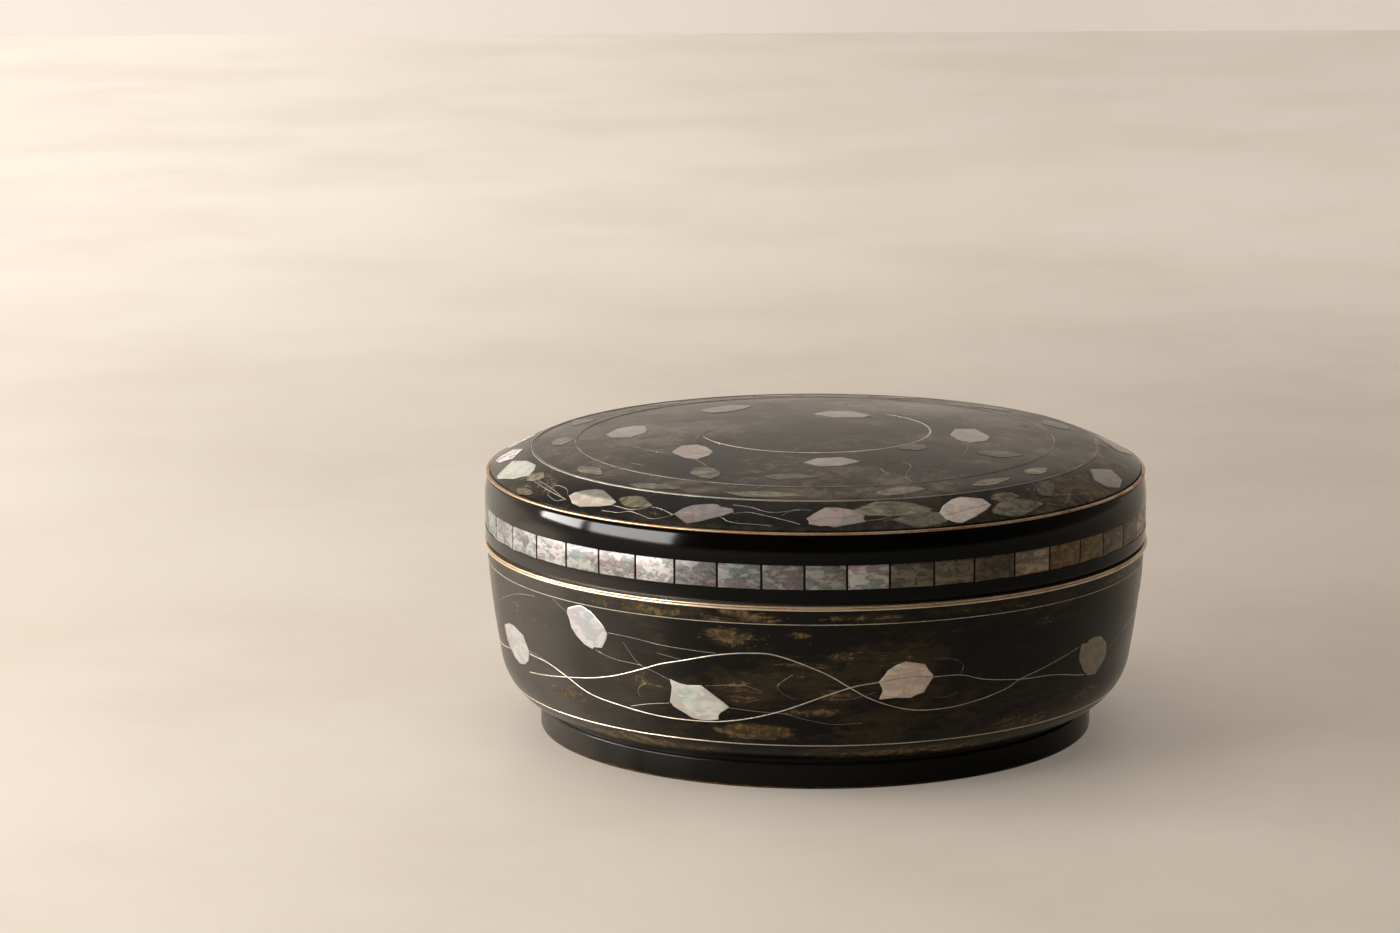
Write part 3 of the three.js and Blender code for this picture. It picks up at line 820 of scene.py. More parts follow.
@dataclass
class BodyForm:
    """Outside of the base: lip, haunch and wall."""

    lip_radius: float = 103.2
    lip_height: float = 11.2
    haunch_radius: float = 22.3
    haunch_curl: float = 63.0
    taper: float = 6.6
    rim_radius: float = 119.95
    rim_height: float = 70.0
    bulge: float = 0.6
    wire_seat: float = 67.7
    slope_step: float = 0.2

    @property
    def haunch_top(self) -> float:
        """Height at which the haunch runs into the wall."""
        drop = math.sin(math.radians(self.haunch_curl)) - math.sin(math.radians(self.taper))
        return self.lip_height + self.haunch_radius * drop

    @property
    def haunch_centre(self) -> Point:
        """Centre of the haunch's arc.

        Returns:
            Its radius and height.
        """
        lean = math.radians(self.taper)
        wall = self.rim_radius - (self.rim_height - self.haunch_top) * math.tan(lean)
        level = self.haunch_top + self.haunch_radius * math.sin(lean)
        return wall - self.haunch_radius * math.cos(lean), level

    @property
    def degree(self) -> float:
        """Length of one degree round the rim."""
        return math.radians(1) * self.rim_radius

    def radius(self, height: np.ndarray) -> np.ndarray:
        """Outer radius at a height.

        Args:
            height: one or more heights above the table.

        Returns:
            The radius at each.
        """
        height = np.asarray(height, float)
        centre, level = self.haunch_centre
        share = np.clip((height - self.haunch_top) / (self.rim_height - self.haunch_top), 0, 1)
        wall = self.rim_radius - (self.rim_height - height) * math.tan(math.radians(self.taper))
        wall = wall + self.bulge * 4 * share * (1 - share)
        curl = centre + np.sqrt(np.maximum(self.haunch_radius**2 - (level - height) ** 2, 0.0))
        return np.where(height >= self.haunch_top, wall, curl)

    def normal(self, height: np.ndarray) -> tuple[np.ndarray, np.ndarray]:
        """Normal of the surface at a height.

        Args:
            height: one or more heights above the table.

        Returns:
            The outward and the upward part of the unit normal at each.
        """
        step = self.slope_step
        slope = (self.radius(height + step) - self.radius(height - step)) / (2 * step)
        length = np.hypot(1.0, slope)
        return 1 / length, -slope / length

    def skin(self, inset: float, steps: int = 14) -> list[Point]:
        """Outline of the skin from the lip up to the seat of the rim wire.

        Args:
            inset: distance in from the outside.
            steps: chords of the haunch and of the wall.

        Returns:
            The outline, from the bottom up.
        """
        low = np.degrees(np.arcsin((self.haunch_centre[1] - self.lip_height) / (self.haunch_radius - inset)))
        haunch = arc(self.haunch_centre, self.haunch_radius - inset, -low, -self.taper, steps)
        levels = np.linspace(self.haunch_top, self.wire_seat, steps + 1)[1:]
        return haunch + [(float(self.radius(level)) - inset, float(level)) for level in levels]

    def wrap(self, piece: Piece, turn: np.ndarray, level: np.ndarray, out: np.ndarray) -> None:
        """Puts a flat piece's points on the wall.

        Args:
            piece: the piece.
            turn: each point's angle round the axis, in radians.
            level: each point's height.
            out: each point's distance out of the surface.
        """
        outward, upward = self.normal(level)
        radius = self.radius(level) + out * outward
        move_points(piece, radius * np.sin(turn), -radius * np.cos(turn), level + out * upward)

    def lay(self, piece: Piece, angle: float, height: float) -> None:
        """Bends a flat piece on to the body.

        Args:
            piece: the piece, drawn with across along X, up along Y and out along Z.
            angle: angle of its middle.
            height: height of its middle.
        """
        across, up, out = points_of(piece)
        self.wrap(piece, math.radians(angle) + across / float(self.radius(height)), height + up, out)

    def plan(self, angle: float, height: float) -> Point:
        """Place of a strand's point, where the strand is drawn flat."""
        return angle * self.degree, height

    def lay_strand(self, piece: Piece) -> None:
        """Wraps a strand drawn flat round the body."""
        across, level, out = points_of(piece)
        self.wrap(piece, np.radians(across / self.degree), level, out)


@dataclass
class LidForm:
    """Outside of the lid's top: a sloping shoulder and a low dome."""

    seat: float = 70.3
    radius: float = 120.4
    side_height: float = 23.3
    skin_radius: float = 118.3
    ring_radius: float = 102.7
    ring_height: float = 32.1
    shoulder_rise: float = 7.05
    shoulder_curl: float = 0.35
    dome_rise: float = 6.0
    slope_step: float = 0.2

    def height(self, radius: np.ndarray) -> np.ndarray:
        """Height of the top at a radius.

        Args:
            radius: one or more distances from the axis.

        Returns:
            The height above the table at each.
        """
        radius = np.asarray(radius, float)
        sphere = (self.ring_radius**2 + self.dome_rise**2) / (2 * self.dome_rise)
        crown = self.ring_height + self.dome_rise - sphere
        dome = crown + np.sqrt(sphere**2 - np.minimum(radius, self.ring_radius) ** 2)
        along = (radius - self.ring_radius) / (self.skin_radius - self.ring_radius)
        fall = (1 - self.shoulder_curl) * along + self.shoulder_curl * along**2
        shoulder = self.ring_height - self.shoulder_rise * fall
        return self.seat + np.where(radius <= self.ring_radius, dome, shoulder)

    def outline(self, depth: float, outer: float, steps: int = 16) -> list[Point]:
        """Outline of the top from a radius in to the axis.

        Args:
            depth: distance down from the outside.
            outer: radius at which it starts.
            steps: chords of the dome; the shoulder has half as many.

        Returns:
            The outline, from the outside in.
        """
        radii = list(np.linspace(outer, self.ring_radius, steps // 2 + 1))
        radii += list(np.linspace(self.ring_radius, 0, steps + 1)[1:])
        return [(float(radius), float(self.height(radius)) - depth) for radius in radii]

    def lay(self, piece: Piece, angle: float, radius: float) -> None:
        """Drapes a flat piece over the top.

        Args:
            piece: the piece, drawn with across along X, outwards along Y and up along Z.
            angle: angle of its middle.
            radius: distance of its middle from the axis.
        """
        across, outwards, up = points_of(piece)
        turn = math.radians(angle)
        reach = radius + outwards
        x = reach * math.sin(turn) + across * math.cos(turn)
        y = -reach * math.cos(turn) + across * math.sin(turn)
        distance = np.hypot(x, y)
        step = self.slope_step
        slope = (self.height(distance + step) - self.height(np.abs(distance - step))) / (2 * step)
        length = np.hypot(1.0, slope)
        share = -slope / length * up / np.maximum(distance, step)
        move_points(piece, x * (1 + share), y * (1 + share), self.height(distance) + up / length)

    def plan(self, angle: float, radius: float) -> Point:
        """Place of a strand's point, where the strand is drawn in plan."""
        turn = math.radians(angle)
        return radius * math.sin(turn), -radius * math.cos(turn)

    def lay_strand(self, piece: Piece) -> None:
        """Drapes a strand drawn in plan over the top."""
        x, y, up = points_of(piece)
        move_points(piece, x, y, self.height(np.hypot(x, y)) + up)


BODY = BodyForm()
LID = LidForm()
FORMS: dict[Half, BodyForm | LidForm] = {Half.BASE: BODY, Half.LID: LID}


@dataclass(frozen=True)
class Patch:
    """A stain in the lacquer, or a patch of painted sheen: its middle, half its width and half its height."""

    angle: float
    level: float
    width: float
    height: float
    strength: float = 1.0


def stain(piece: Piece, patches: Sequence[Patch] = (), by_radius: bool = False, name: str = "stain") -> None:
    """Writes how strongly each point of a coat is stained, or greyed by painted sheen.

    Args:
        piece: the finished coat.
        patches: the stains, or the patches of painted sheen.
        by_radius: whether a stain's level is a radius instead of a height.
        name: the attribute: stain for amber flecks, clear for no clouds, or the one that greys a coat with
            painted sheen.
    """
    x, y, z = points_of(piece)
    angle = np.degrees(np.arctan2(x, -y))
    level = np.hypot(x, y) if by_radius else z
    total = np.zeros(len(x))
    for patch in patches:
        turn = (angle - patch.angle + 180) % 360 - 180
        away = (turn / patch.width) ** 2 + ((level - patch.level) / patch.height) ** 2
        total = np.maximum(total, patch.strength * np.exp(-(away**1.5) * 0.7))
    attribute = piece.data.attributes.new(name, "FLOAT", "POINT")
    attribute.data.foreach_set("value", total.astype(np.float32))


def mark_cut(piece: Piece, tint: Colour, draw: random.Random, shade: Colour | None = None) -> None:
    """Gives a piece of shell its own tint and its own place in the shell's pattern.

    Args:
        piece: the piece, still flat.
        tint: factor on the shell's colour.
        draw: source of its place in the pattern.
        shade: factor for the part below its keel, where that differs.
    """
    keel = -1.1
    count = len(piece.data.vertices)
    shift = [draw.uniform(0.0, 3.0) for _ in range(3)]
    colours = {"cut": np.tile([*shift, 1.0], (count, 1)), "tint": np.tile([*tint, 1.0], (count, 1))}
    if shade is not None:
        low = [vertex.co.y < keel * MM for vertex in piece.data.vertices]
        colours["tint"][low] = [*shade, 1.0]
    for name, rows in colours.items():
        attribute = piece.data.attributes.new(name, "FLOAT_COLOR", "POINT")
        attribute.data.foreach_set("color", rows.astype(np.float32).ravel())


@dataclass
class Foot:
    """Turned foot ring with a shadow line under the body's lip."""

    inner: float = 93.35
    outer: float = 100.8
    top: float = 11.2
    neck: float = 99.6
    neck_foot: float = 9.1
    edge: float = 0.5
    shoulder: float = 0.8
    worn: tuple[Patch, ...] = (Patch(0, 0.0, 500, 0.62, 1.3),)
    # Painted sheen on the foot: greyed patches of reflected light, strongest on the left and faint across the
    # front.
    painted_sheens: tuple[Patch, ...] = (
        Patch(-66, 4, 16, 20, 0.9), Patch(-48, 4, 8, 20, 0.4), Patch(-33, 4, 8, 20, 0.2),
        Patch(0, 4, 60, 20, 0.12),
    )

    def build(self) -> None:
        """Turns the foot and dresses it."""
        centre = (self.outer - self.shoulder, self.neck_foot - self.shoulder)
        foot = Dressing(Half.BASE, Slot.LACQUER, Finish.FOOT).turn("turned_foot", [
            (self.inner, 0.0), (self.outer - self.edge, 0.0), (self.outer - 0.1, 0.15),
            (self.outer, self.edge), (self.outer, self.edge + 0.5), *arc(centre, self.shoulder, 0, 80, 4),
            (self.neck, self.neck_foot), (self.neck, self.top), (self.inner, self.top),
        ], "foot_ring")
        stain(foot, self.worn)
        stain(foot, self.painted_sheens, name="bloom")


@dataclass
class Base:
    """Core, coat, floor, collar and ring wires of the lower half."""

    coat: float = 1.8
    gap: float = 0.3
    wall: float = 7.0
    floor_low: float = 14.2
    floor_high: float = 18.2
    floor_edge: float = 0.4
    flange: float = 88.75
    floor_seat: float = 93.85
    collar_outer: float = 113.9
    collar_inner: float = 111.3
    collar_foot: float = 56.0
    collar_top: float = 78.5
    collar_round: float = 0.8
    rim_root: float = 118.1
    bead_middle: float = 120.45
    bead: float = 0.43
    fillet_foot: float = 0.92
    fillet_middle: float = 120.35
    fillet: float = 0.37
    lower_line: float = 18.4
    lower_width: float = 0.48
    upper_line: float = 62.8
    upper_width: float = 0.25
    line_section: tuple[Point, ...] = (
        (-0.5, -0.7), (-0.5, 0.05), (-0.3, 0.16), (0.3, 0.16), (0.5, 0.05), (0.5, -0.7),
    )
    patches: tuple[Patch, ...] = (
        Patch(-30, 65.2, 11, 2.6, 0.85), Patch(-14, 65.4, 9, 2.2, 0.75), Patch(4, 65.2, 12, 2, 0.62),
        Patch(-15.5, 57.6, 5.5, 3, 0.8), Patch(-50, 28.2, 5, 2.2, 0.9), Patch(-12, 23.3, 6.5, 2.9, 1.2),
        Patch(-13, 38, 3.4, 5, 0.7), Patch(2, 37.4, 3.6, 2.4, 0.8), Patch(-2, 31, 5, 1.8, 0.7),
        Patch(-34, 14.6, 14, 2.2, 0.9), Patch(20, 14.4, 18, 1.9, 0.8), Patch(38, 20.5, 7, 3, 0.7),
        Patch(26, 65.4, 10, 1.8, 0.5), Patch(8, 51, 9, 4, 0.45), Patch(-4, 47, 6, 4, 0.4),
        Patch(57, 25, 6, 4, 0.5), Patch(-3.5, 58.5, 2.4, 1.8, 0.64), Patch(45, 57, 8, 2, 0.35),
        Patch(-60, 52, 8, 5, 0.35), Patch(-30, 38, 7, 4, 0.4), Patch(70, 65.2, 14, 2, 0.7),
        Patch(95, 26, 9, 3, 0.9), Patch(118, 54, 8, 4, 0.7), Patch(140, 21.8, 10, 2.4),
        Patch(158, 63, 12, 3, 0.8), Patch(176, 42, 7, 5, 0.6), Patch(205, 24, 9, 3, 0.9),
        Patch(232, 50, 8, 4, 0.7), Patch(252, 63.6, 13, 2.6), Patch(262, 22, 8, 2.4, 0.8),
        Patch(214, 60, 6, 3, 0.5), Patch(126, 14.6, 20, 2.2, 0.8), Patch(190, 14.6, 14, 2, 0.7),
    )
    # Painted sheen on the body's left flank: greyed haze that stands in for reflected window light.
    painted_sheens: tuple[Patch, ...] = (Patch(-57, 40, 13, 60), Patch(-47, 40, 17, 60, 0.6))

    def build(self) -> None:
        """Turns and dresses every ring of the base."""
        lip = [(BODY.lip_radius - 0.9, BODY.lip_height), (BODY.lip_radius - 0.2, BODY.lip_height + 0.12)]
        outline = [*lip, *BODY.skin(0.0)[1:], *BODY.skin(self.coat)[::-1]]
        coat = Dressing(Half.BASE, Slot.LACQUER, Finish.BODY).turn("body_coat", outline, "base_lacquer")
        stain(coat, self.patches)
        stain(coat, self.painted_sheens, name="bloom")
        self.build_inside()
        self.build_wires()

    def build_inside(self) -> None:
        """Turns the core, the floor and the collar."""
        outer = BODY.skin(self.coat + self.gap)
        inner = [point for point in BODY.skin(self.wall) if self.floor_high < point[1] < self.collar_foot]
        Dressing(Half.BASE, Slot.CORE, Finish.INSIDE).turn("wooden_core", [
            *outer, (outer[-1][0], BODY.rim_height), (self.collar_outer + self.gap, BODY.rim_height),
            (self.collar_outer + self.gap, self.collar_foot), *inner[::-1],
            (self.floor_seat, self.floor_high), (self.floor_seat, self.floor_low),
            (self.flange, self.floor_low), (self.flange, BODY.lip_height),
        ], "base_core")
        board = self.floor_seat - self.gap
        Dressing(Half.BASE, Slot.LACQUER, Finish.INSIDE).turn("floor_board", [
            (0, self.floor_low), (board, self.floor_low), (board, self.floor_high - self.floor_edge),
            (board - self.floor_edge, self.floor_high), (0, self.floor_high),
        ], "base_floor")
        centre = (self.collar_outer - self.collar_round, self.collar_top - self.collar_round)
        Dressing(Half.BASE, Slot.LACQUER, Finish.SIDE).turn("lid_collar", [
            (self.collar_inner, self.collar_foot), (self.collar_outer, self.collar_foot),
            (self.collar_outer, centre[1]), *arc(centre, self.collar_round, 20, 90, 4),
            (self.collar_inner + 0.4, self.collar_top), (self.collar_inner, self.collar_top - 0.4),
        ], "inner_collar")

    def build_wires(self) -> None:
        """Turns the two beads of the rim wire and the two line wires."""
        seat, root = BODY.wire_seat, self.rim_root
        Dressing(Half.BASE, Slot.BRASS, Finish.RIM_BRIGHT).turn("rim_wire_bead", [
            (root, seat), *arc((self.bead_middle, seat + self.bead), self.bead, -90, 90, 8),
            (root, seat + 2 * self.bead),
        ], "rim_wire")
        middle = (self.fillet_middle, seat + self.fillet_foot + self.fillet)
        Dressing(Half.BASE, Slot.BRASS, Finish.RIM_BROWN).turn("rim_wire_fillet", [
            (root, seat + self.fillet_foot), *arc(middle, self.fillet, -90, 90, 6),
            (root, seat + self.fillet_foot + 2 * self.fillet),
        ])
        self.line_wire("lower_line", self.lower_line, self.lower_width, Finish.RIM_BRIGHT, "lower_line_wire")
        self.line_wire("upper_line", self.upper_line, self.upper_width, Finish.VINE)

    def line_wire(self, name: str, level: float, width: float, finish: Finish, *nodes: str) -> None:
        """Turns a thin ring wire that lies flush in the wall.

        Args:
            name: name of the piece.
            level: its height.
            width: its visible width.
            finish: its finish.
            nodes: nodes that it stands for.
        """
        radius = float(BODY.radius(level))
        outward, upward = (float(part) for part in BODY.normal(level))
        outline = [
            (radius + out * outward - side * width * upward, level + out * upward + side * width * outward)
            for side, out in self.line_section
        ]
        Dressing(Half.BASE, Slot.BRASS, finish).dress(Bench.turn(name, outline[::-1], smooth=60.0), *nodes)


LEAF_CUTS: dict[str, list[Point]] = {
    "oval": [
        (-11.5, 4.9), (-4.8, 6.8), (0.2, 7), (8.3, 5.1), (9.7, 2.6), (11.5, -0.3), (9.5, -4.1), (5.9, -6.2),
        (0.8, -7), (-4.3, -5.5), (-8.7, -2.5), (-10.7, -0.1),
    ],
    "egg": [
        (-9.6, 3.8), (-8.9, 5.6), (-7.4, 6.2), (-3.2, 7.5), (-1.2, 7.5), (2.7, 6.1), (6, 3.6), (8.1, 1.8),
        (9.6, -0.8), (9, -2.9), (6.6, -6.4), (3, -6.7), (1.9, -7.5), (-1.8, -6.4), (-5.3, -4), (-7.8, -1.3),
        (-8.5, 1.6),
    ],
    "horned": [
        (-10.4, 7), (-6.6, 5.7), (-4, 5.4), (1.1, 5.8), (4.3, 3.6), (9.5, -0.2), (11, -1.5), (7.6, -3.8),
        (6.9, -4.9), (6.8, -6.3), (3.7, -6.8), (0.7, -7), (-2.9, -6.5), (-5.6, -5), (-9.7, -3), (-11, -1.4),
        (-10.3, 1.5), (-9.8, 4.1),
    ],
    "veined": [
        (-9.7, -0.3), (-8.1, 1.5), (-6.6, 3.7), (-3.8, 5.5), (-0.4, 6.7), (4.3, 5.7), (6.6, 5.2), (7.9, 3),
        (9.7, 1.1), (9.6, 0), (7.8, -2.9), (6.6, -5.1), (4.2, -5.7), (1.8, -6.7), (-3.5, -6.3), (-9.4, -6.7),
        (-8.2, -3.9), (-8.4, -2.4),
    ],
    "shield": [
        (-9.8, 6.3), (-6.3, 6), (-5, 6.9), (-1.8, 7.3), (3.2, 6.6), (8.7, 2.9), (10.3, -1.2), (8.2, -3.9),
        (5.3, -5.9), (3.6, -7.3), (-3.1, -6.6), (-6.2, -4.2), (-9.1, -0.6), (-10.3, 1), (-10.2, 3.1),
    ],
    "fan": [
        (-5.1, 6.1), (-8.5, 3.2), (-13.6, -1.5), (-3.9, -4.9), (6, -5.9), (10.3, -4.4), (14.4, -1.5),
        (11.9, 0), (8.7, 3), (-1.8, 6.5),
    ],
    "keel": [
        (-11.2, 0.6), (-10.5, -1.2), (-7, -3.4), (-3.3, -4.8), (0.1, -5.1), (3.9, -3.7), (11, -0.9),
        (10.9, 0.8), (6.3, 2.7), (-1.4, 4.6), (-6.3, 3.7),
    ],
    "fin": [
        (-10.3, 2), (-7.9, -1.1), (-5.2, -2.9), (1.4, -4.4), (3.3, -4.3), (5, -3.2), (9.4, -2.7),
        (10.6, -1.1), (7.7, 1.1), (0.7, 4.7), (-4, 6.2), (-7.4, 4),
    ],
    "scallop": [
        (-10.2, 0.4), (-7.5, -1.8), (-3.4, -5.1), (0.8, -4.9), (5.5, -3.6), (9.8, -0.3), (9.1, 1),
        (10.1, 2.2), (6.1, 3.4), (-1, 4.9), (-3.1, 4.2), (-5.9, 4.2), (-9.6, 3), (-9.4, 2.1),
    ],
    "shell_leaf": [
        (-10.5, 0.6), (-7, -2.9), (-2.4, -5.5), (1.7, -6.7), (9.2, -4.5), (10.7, -0.9), (7.8, 1.3),
        (1.4, 4.3), (-4.6, 6.2), (-6.3, 5.9), (-9.7, 3.7), (-10, 2.2),
    ],
    "pebble": [(-1.1, -5.9), (9.8, -1.9), (6.1, 3.7), (-3, 5.8), (-9.2, 3.3), (-9.8, -1.3)],
    "broad_oval": [
        (3, 7.3), (-8, 4.6), (-11.9, -0.9), (-10.4, -5.5), (-0.8, -7.6), (5.4, -7.2), (11.4, -3.2),
        (9.1, 4.3),
    ],
    "tilted": [
        (-5.8, 4.9), (-11.1, -3.8), (-7.8, -8.5), (-2.5, -8.3), (5.5, -5.1), (9, -0.6), (10, 5.6),
        (4.5, 7.1),
    ],
    "lozenge": [(-10.1, -0.3), (-5.1, -5.6), (4.4, -6), (10.1, 0.2), (3, 5.5), (-4.6, 6)],
    "far_oval": [(10.5, -3), (7.1, 6.4), (-1.3, 8.5), (-11, 1.6), (-9.5, -4.8), (-0.5, -8.8)],
    "wide": [(-2.1, -7.1), (10, -6), (13.8, 1.1), (0.7, 7.2), (-7.5, 6.4), (-13.5, 1.4), (-10.1, -3.6)],
}


@dataclass(frozen=True)
class Leaf:
    """A shell leaf: its cut, the place of its middle, its turn, its tint, its size and its engraved veins."""

    cut: str
    angle: float
    level: float
    turn: float = 0.0
    tint: Colour = (1.0, 1.0, 1.0)
    size: Point = (1.0, 1.0)
    veins: tuple[tuple[Point, ...], ...] = ()
    shade: Colour | None = None

    def outline(self) -> list[Point]:
        """Gives the leaf's outline, turned.

        Returns:
            The corners, anticlockwise.
        """
        c, s = math.cos(math.radians(self.turn)), math.sin(math.radians(self.turn))
        wide, high = self.size
        points = [(wide * x * c - high * y * s, wide * x * s + high * y * c) for x, y in LEAF_CUTS[self.cut]]
        area = sum(x0 * y1 - x1 * y0 for (x0, y0), (x1, y1) in zip(points, points[1:] + points[:1]))
        return points if area > 0 else points[::-1]


@dataclass
class LeafSet:
    """Leaves let into one half of the box; veiled ones lie under the lacquer and stand for no node."""

    half: Half
    leaves: list[Leaf]
    seed: int
    name: str = "shell"
    sunk: float = 0.7
    proud: float = 0.06
    chamfer: float = 0.3
    veiled: bool = False
    vein_radius: float = 0.11
    vein_depth: float = 0.02
    vein_spacing: float = 1.5

    def build(self) -> None:
        """Cuts every leaf, lays it on its surface and dresses it."""
        draw = random.Random(self.seed)
        dressing = Dressing(self.half, Slot.SHELL, Finish.DOME if self.veiled else Finish.LEAF)
        for number, leaf in enumerate(self.leaves, start=1):
            title = f"{self.half.value}_{self.name}_{number}"
            piece = Bench.plate(title, leaf.outline(), self.sunk, self.proud, self.chamfer)
            mark_cut(piece, leaf.tint, draw, leaf.shade)
            FORMS[self.half].lay(piece, leaf.angle, leaf.level)
            nodes = () if self.veiled else (f"{self.half.value}_leaf_{number}",)
            dressing.dress(piece, *nodes)
            for order, vein in enumerate(leaf.veins, start=1):
                self.engrave(f"{title}_vein_{order}", leaf, vein)

    def engrave(self, title: str, leaf: Leaf, vein: tuple[Point, ...]) -> None:
        """Draws one vein of a leaf as a dark hairline in its face.

        Args:
            title: name of the new piece.
            leaf: the leaf.
            vein: the vein's route, across and up.
        """
        level = self.proud + Bench.chamfer_rise * self.chamfer - self.vein_depth
        line = [Vector((x * MM, y * MM, level * MM)) for x, y in smooth_line(list(vein), self.vein_spacing)]
        piece = Bench.tube(title, line, [self.vein_radius] * len(line))
        FORMS[self.half].lay(piece, leaf.angle, leaf.level)
        Dressing(self.half, Slot.SHELL, Finish.STEM).dress(piece)


LILAC = (0.9, 0.89, 0.965)
MINT = (0.99, 1.02, 0.96)
MAUVE = (0.36, 0.31, 0.31)
BRONZE = (0.4, 0.33, 0.24)
DUSK = (0.4, 0.37, 0.33)
OLIVE = (0.7, 0.66, 0.52)

BASE_LEAVES = [
    Leaf("oval", -67.3, 38.8, 0, (0.78, 0.775, 0.76)), Leaf("egg", -43.4, 54.6, 0, LILAC),
    Leaf("horned", -21.6, 33.6, 0, MINT),
    Leaf("veined", 13.9, 42.2, 0, (1.08, 0.95, 0.84), veins=(((-9, -0.3), (-3, 0.6), (3, 0.9), (9, 0.6)),)),
    Leaf("shield", 55.8, 38.6, 0, BRONZE), Leaf("egg", 87, 53.6, 8, DUSK), Leaf("horned", 114, 34, 0, MINT),
    Leaf("veined", 149, 43, 0, (0.7, 0.62, 0.55)), Leaf("oval", 189, 37.5, -10, LILAC),
    Leaf("egg", 221, 54, 0, MINT), Leaf("shield", 256, 36.5, 12, (0.9, 0.86, 0.8)),
]

LID_LEAVES = [
    Leaf("fan", -75.4, 111.3, 0, (0.92, 1.0, 0.92)),
    Leaf("keel", -45.1, 112, 0, (1.12, 0.98, 0.88), shade=(0.42, 0.43, 0.38)),
    Leaf("fin", -21.4, 111.3, 0, MAUVE, veins=(((-9.4, 1.2), (-3, 1.3), (4, 0.2), (9.6, -1.7)),)),
    Leaf("scallop", 2.2, 112, 0, (0.52, 0.42, 0.4), veins=(
        ((-9, 2.2), (-3, 0.8), (2, 0.9)), ((2, 0.9), (6, 2.8)), ((2, 0.9), (7.6, -0.6)),
        ((2, 0.9), (2.4, -3.6)),
    )),
    Leaf("shell_leaf", 25.9, 111.6, 0, (1.02, 0.95, 0.88), veins=(((-9.3, 2), (-2, 1.2), (9.4, -1.2)),)),
    Leaf("pebble", 66, 111.8, 0, (0.36, 0.33, 0.29)), Leaf("fan", 96, 110.9, 0, (0.15, 0.135, 0.115)),
    Leaf("fin", 121, 110.8, 0, (0.18, 0.16, 0.14)), Leaf("scallop", 147, 111.2, 0, DUSK),
    Leaf("keel", 173, 111.2, 0, LILAC), Leaf("fan", 201, 110.9, 0, MINT), Leaf("fin", 229, 110.8, 0, LILAC),
    Leaf("scallop", 256, 111.2, 0, MINT), Leaf("broad_oval", -96.7, 69.2, 0, (0.5, 0.46, 0.42)),
    Leaf("tilted", -51.5, 57, 0, (0.62, 0.57, 0.52)), Leaf("lozenge", 4.9, 55.6, 0, (0.52, 0.49, 0.46)),
    Leaf("wide", 83.4, 56.4, 0, (0.52, 0.49, 0.45)), Leaf("far_oval", 160, 31.9, 0, (0.55, 0.51, 0.47)),
    Leaf("broad_oval", 213, 60, -20, (0.2, 0.185, 0.165)),
]

GHOST_LEAVES = [
    Leaf("keel", -57.3, 95.8, 2, (1.0, 0.93, 0.75), (0.75, 0.85)),
    Leaf("fin", -36.1, 97.5, -3, (0.7, 0.66, 0.55), (1.1, 0.75)),
    Leaf("fan", -12.6, 96.6, 0, (0.8, 0.78, 0.6), (1.1, 0.6)),
    Leaf("shell_leaf", 16.5, 94.8, 3, (0.75, 0.72, 0.62), (0.95, 0.75)),
    Leaf("keel", 38.5, 95.6, -4, (0.8, 0.77, 0.66), (0.9, 0.7)),
    Leaf("lozenge", 53.6, 95, 0, (1.0, 0.96, 0.85), (0.7, 0.6)),
    Leaf("tilted", -31.2, 77.4, 12, (0.8, 0.77, 0.68), (0.75, 0.8)),
    Leaf("fin", -8, 74.5, 4, (0.55, 0.53, 0.46), (1.0, 0.85)),
    Leaf("pebble", -65.4, 109.8, 0, (0.9, 0.85, 0.68), (0.55, 0.6)),
    Leaf("keel", -35.6, 110.3, 6, (0.8, 0.76, 0.6), (0.72, 0.72)),
    Leaf("scallop", 12.6, 108.6, 4, (0.8, 0.78, 0.7), (1.45, 0.95)),
    Leaf("fan", 17.2, 114.9, 2, (0.6, 0.58, 0.52), (0.9, 0.6)),
    Leaf("keel", 36.2, 114, -2, (0.7, 0.67, 0.6), (1.1, 0.95)),
    Leaf("wide", 35.6, 108.2, 5, (0.7, 0.58, 0.42), (0.5, 0.4)),
    Leaf("fin", 46.3, 108.2, -6, (0.55, 0.52, 0.45), (0.65, 0.7)),
    Leaf("tilted", 61.5, 74, 20, (0.5, 0.46, 0.38), (0.7, 0.8)),
    Leaf("lozenge", 48, 46, 0, (0.45, 0.42, 0.36), (0.7, 0.9)),
    Leaf("pebble", -90.5, 92.5, 8, (0.9, 0.8, 0.68), (0.75, 0.75)),
    Leaf("fan", -62.8, 117.0, 0, (0.8, 0.74, 0.56), (0.5, 0.3)),
    # The pebble at -89 is a veiled leaf tinted far past white as a painted highlight, the window's reflection
    # on the left of the shoulder.
    Leaf("pebble", -89, 111.4, 0, (3.1, 3.0, 3.6), (1.0, 0.95)), Leaf("keel", 110, 96, 0, OLIVE),
    Leaf("fan", 134, 96, 0, OLIVE, (0.8, 0.7)), Leaf("fin", 160, 96, 0, OLIVE),
    Leaf("keel", 187, 96, 0, OLIVE, (0.9, 0.8)), Leaf("scallop", 215, 96, 0, OLIVE, (0.9, 0.75)),
    Leaf("fin", 243, 96, 0, OLIVE),
]


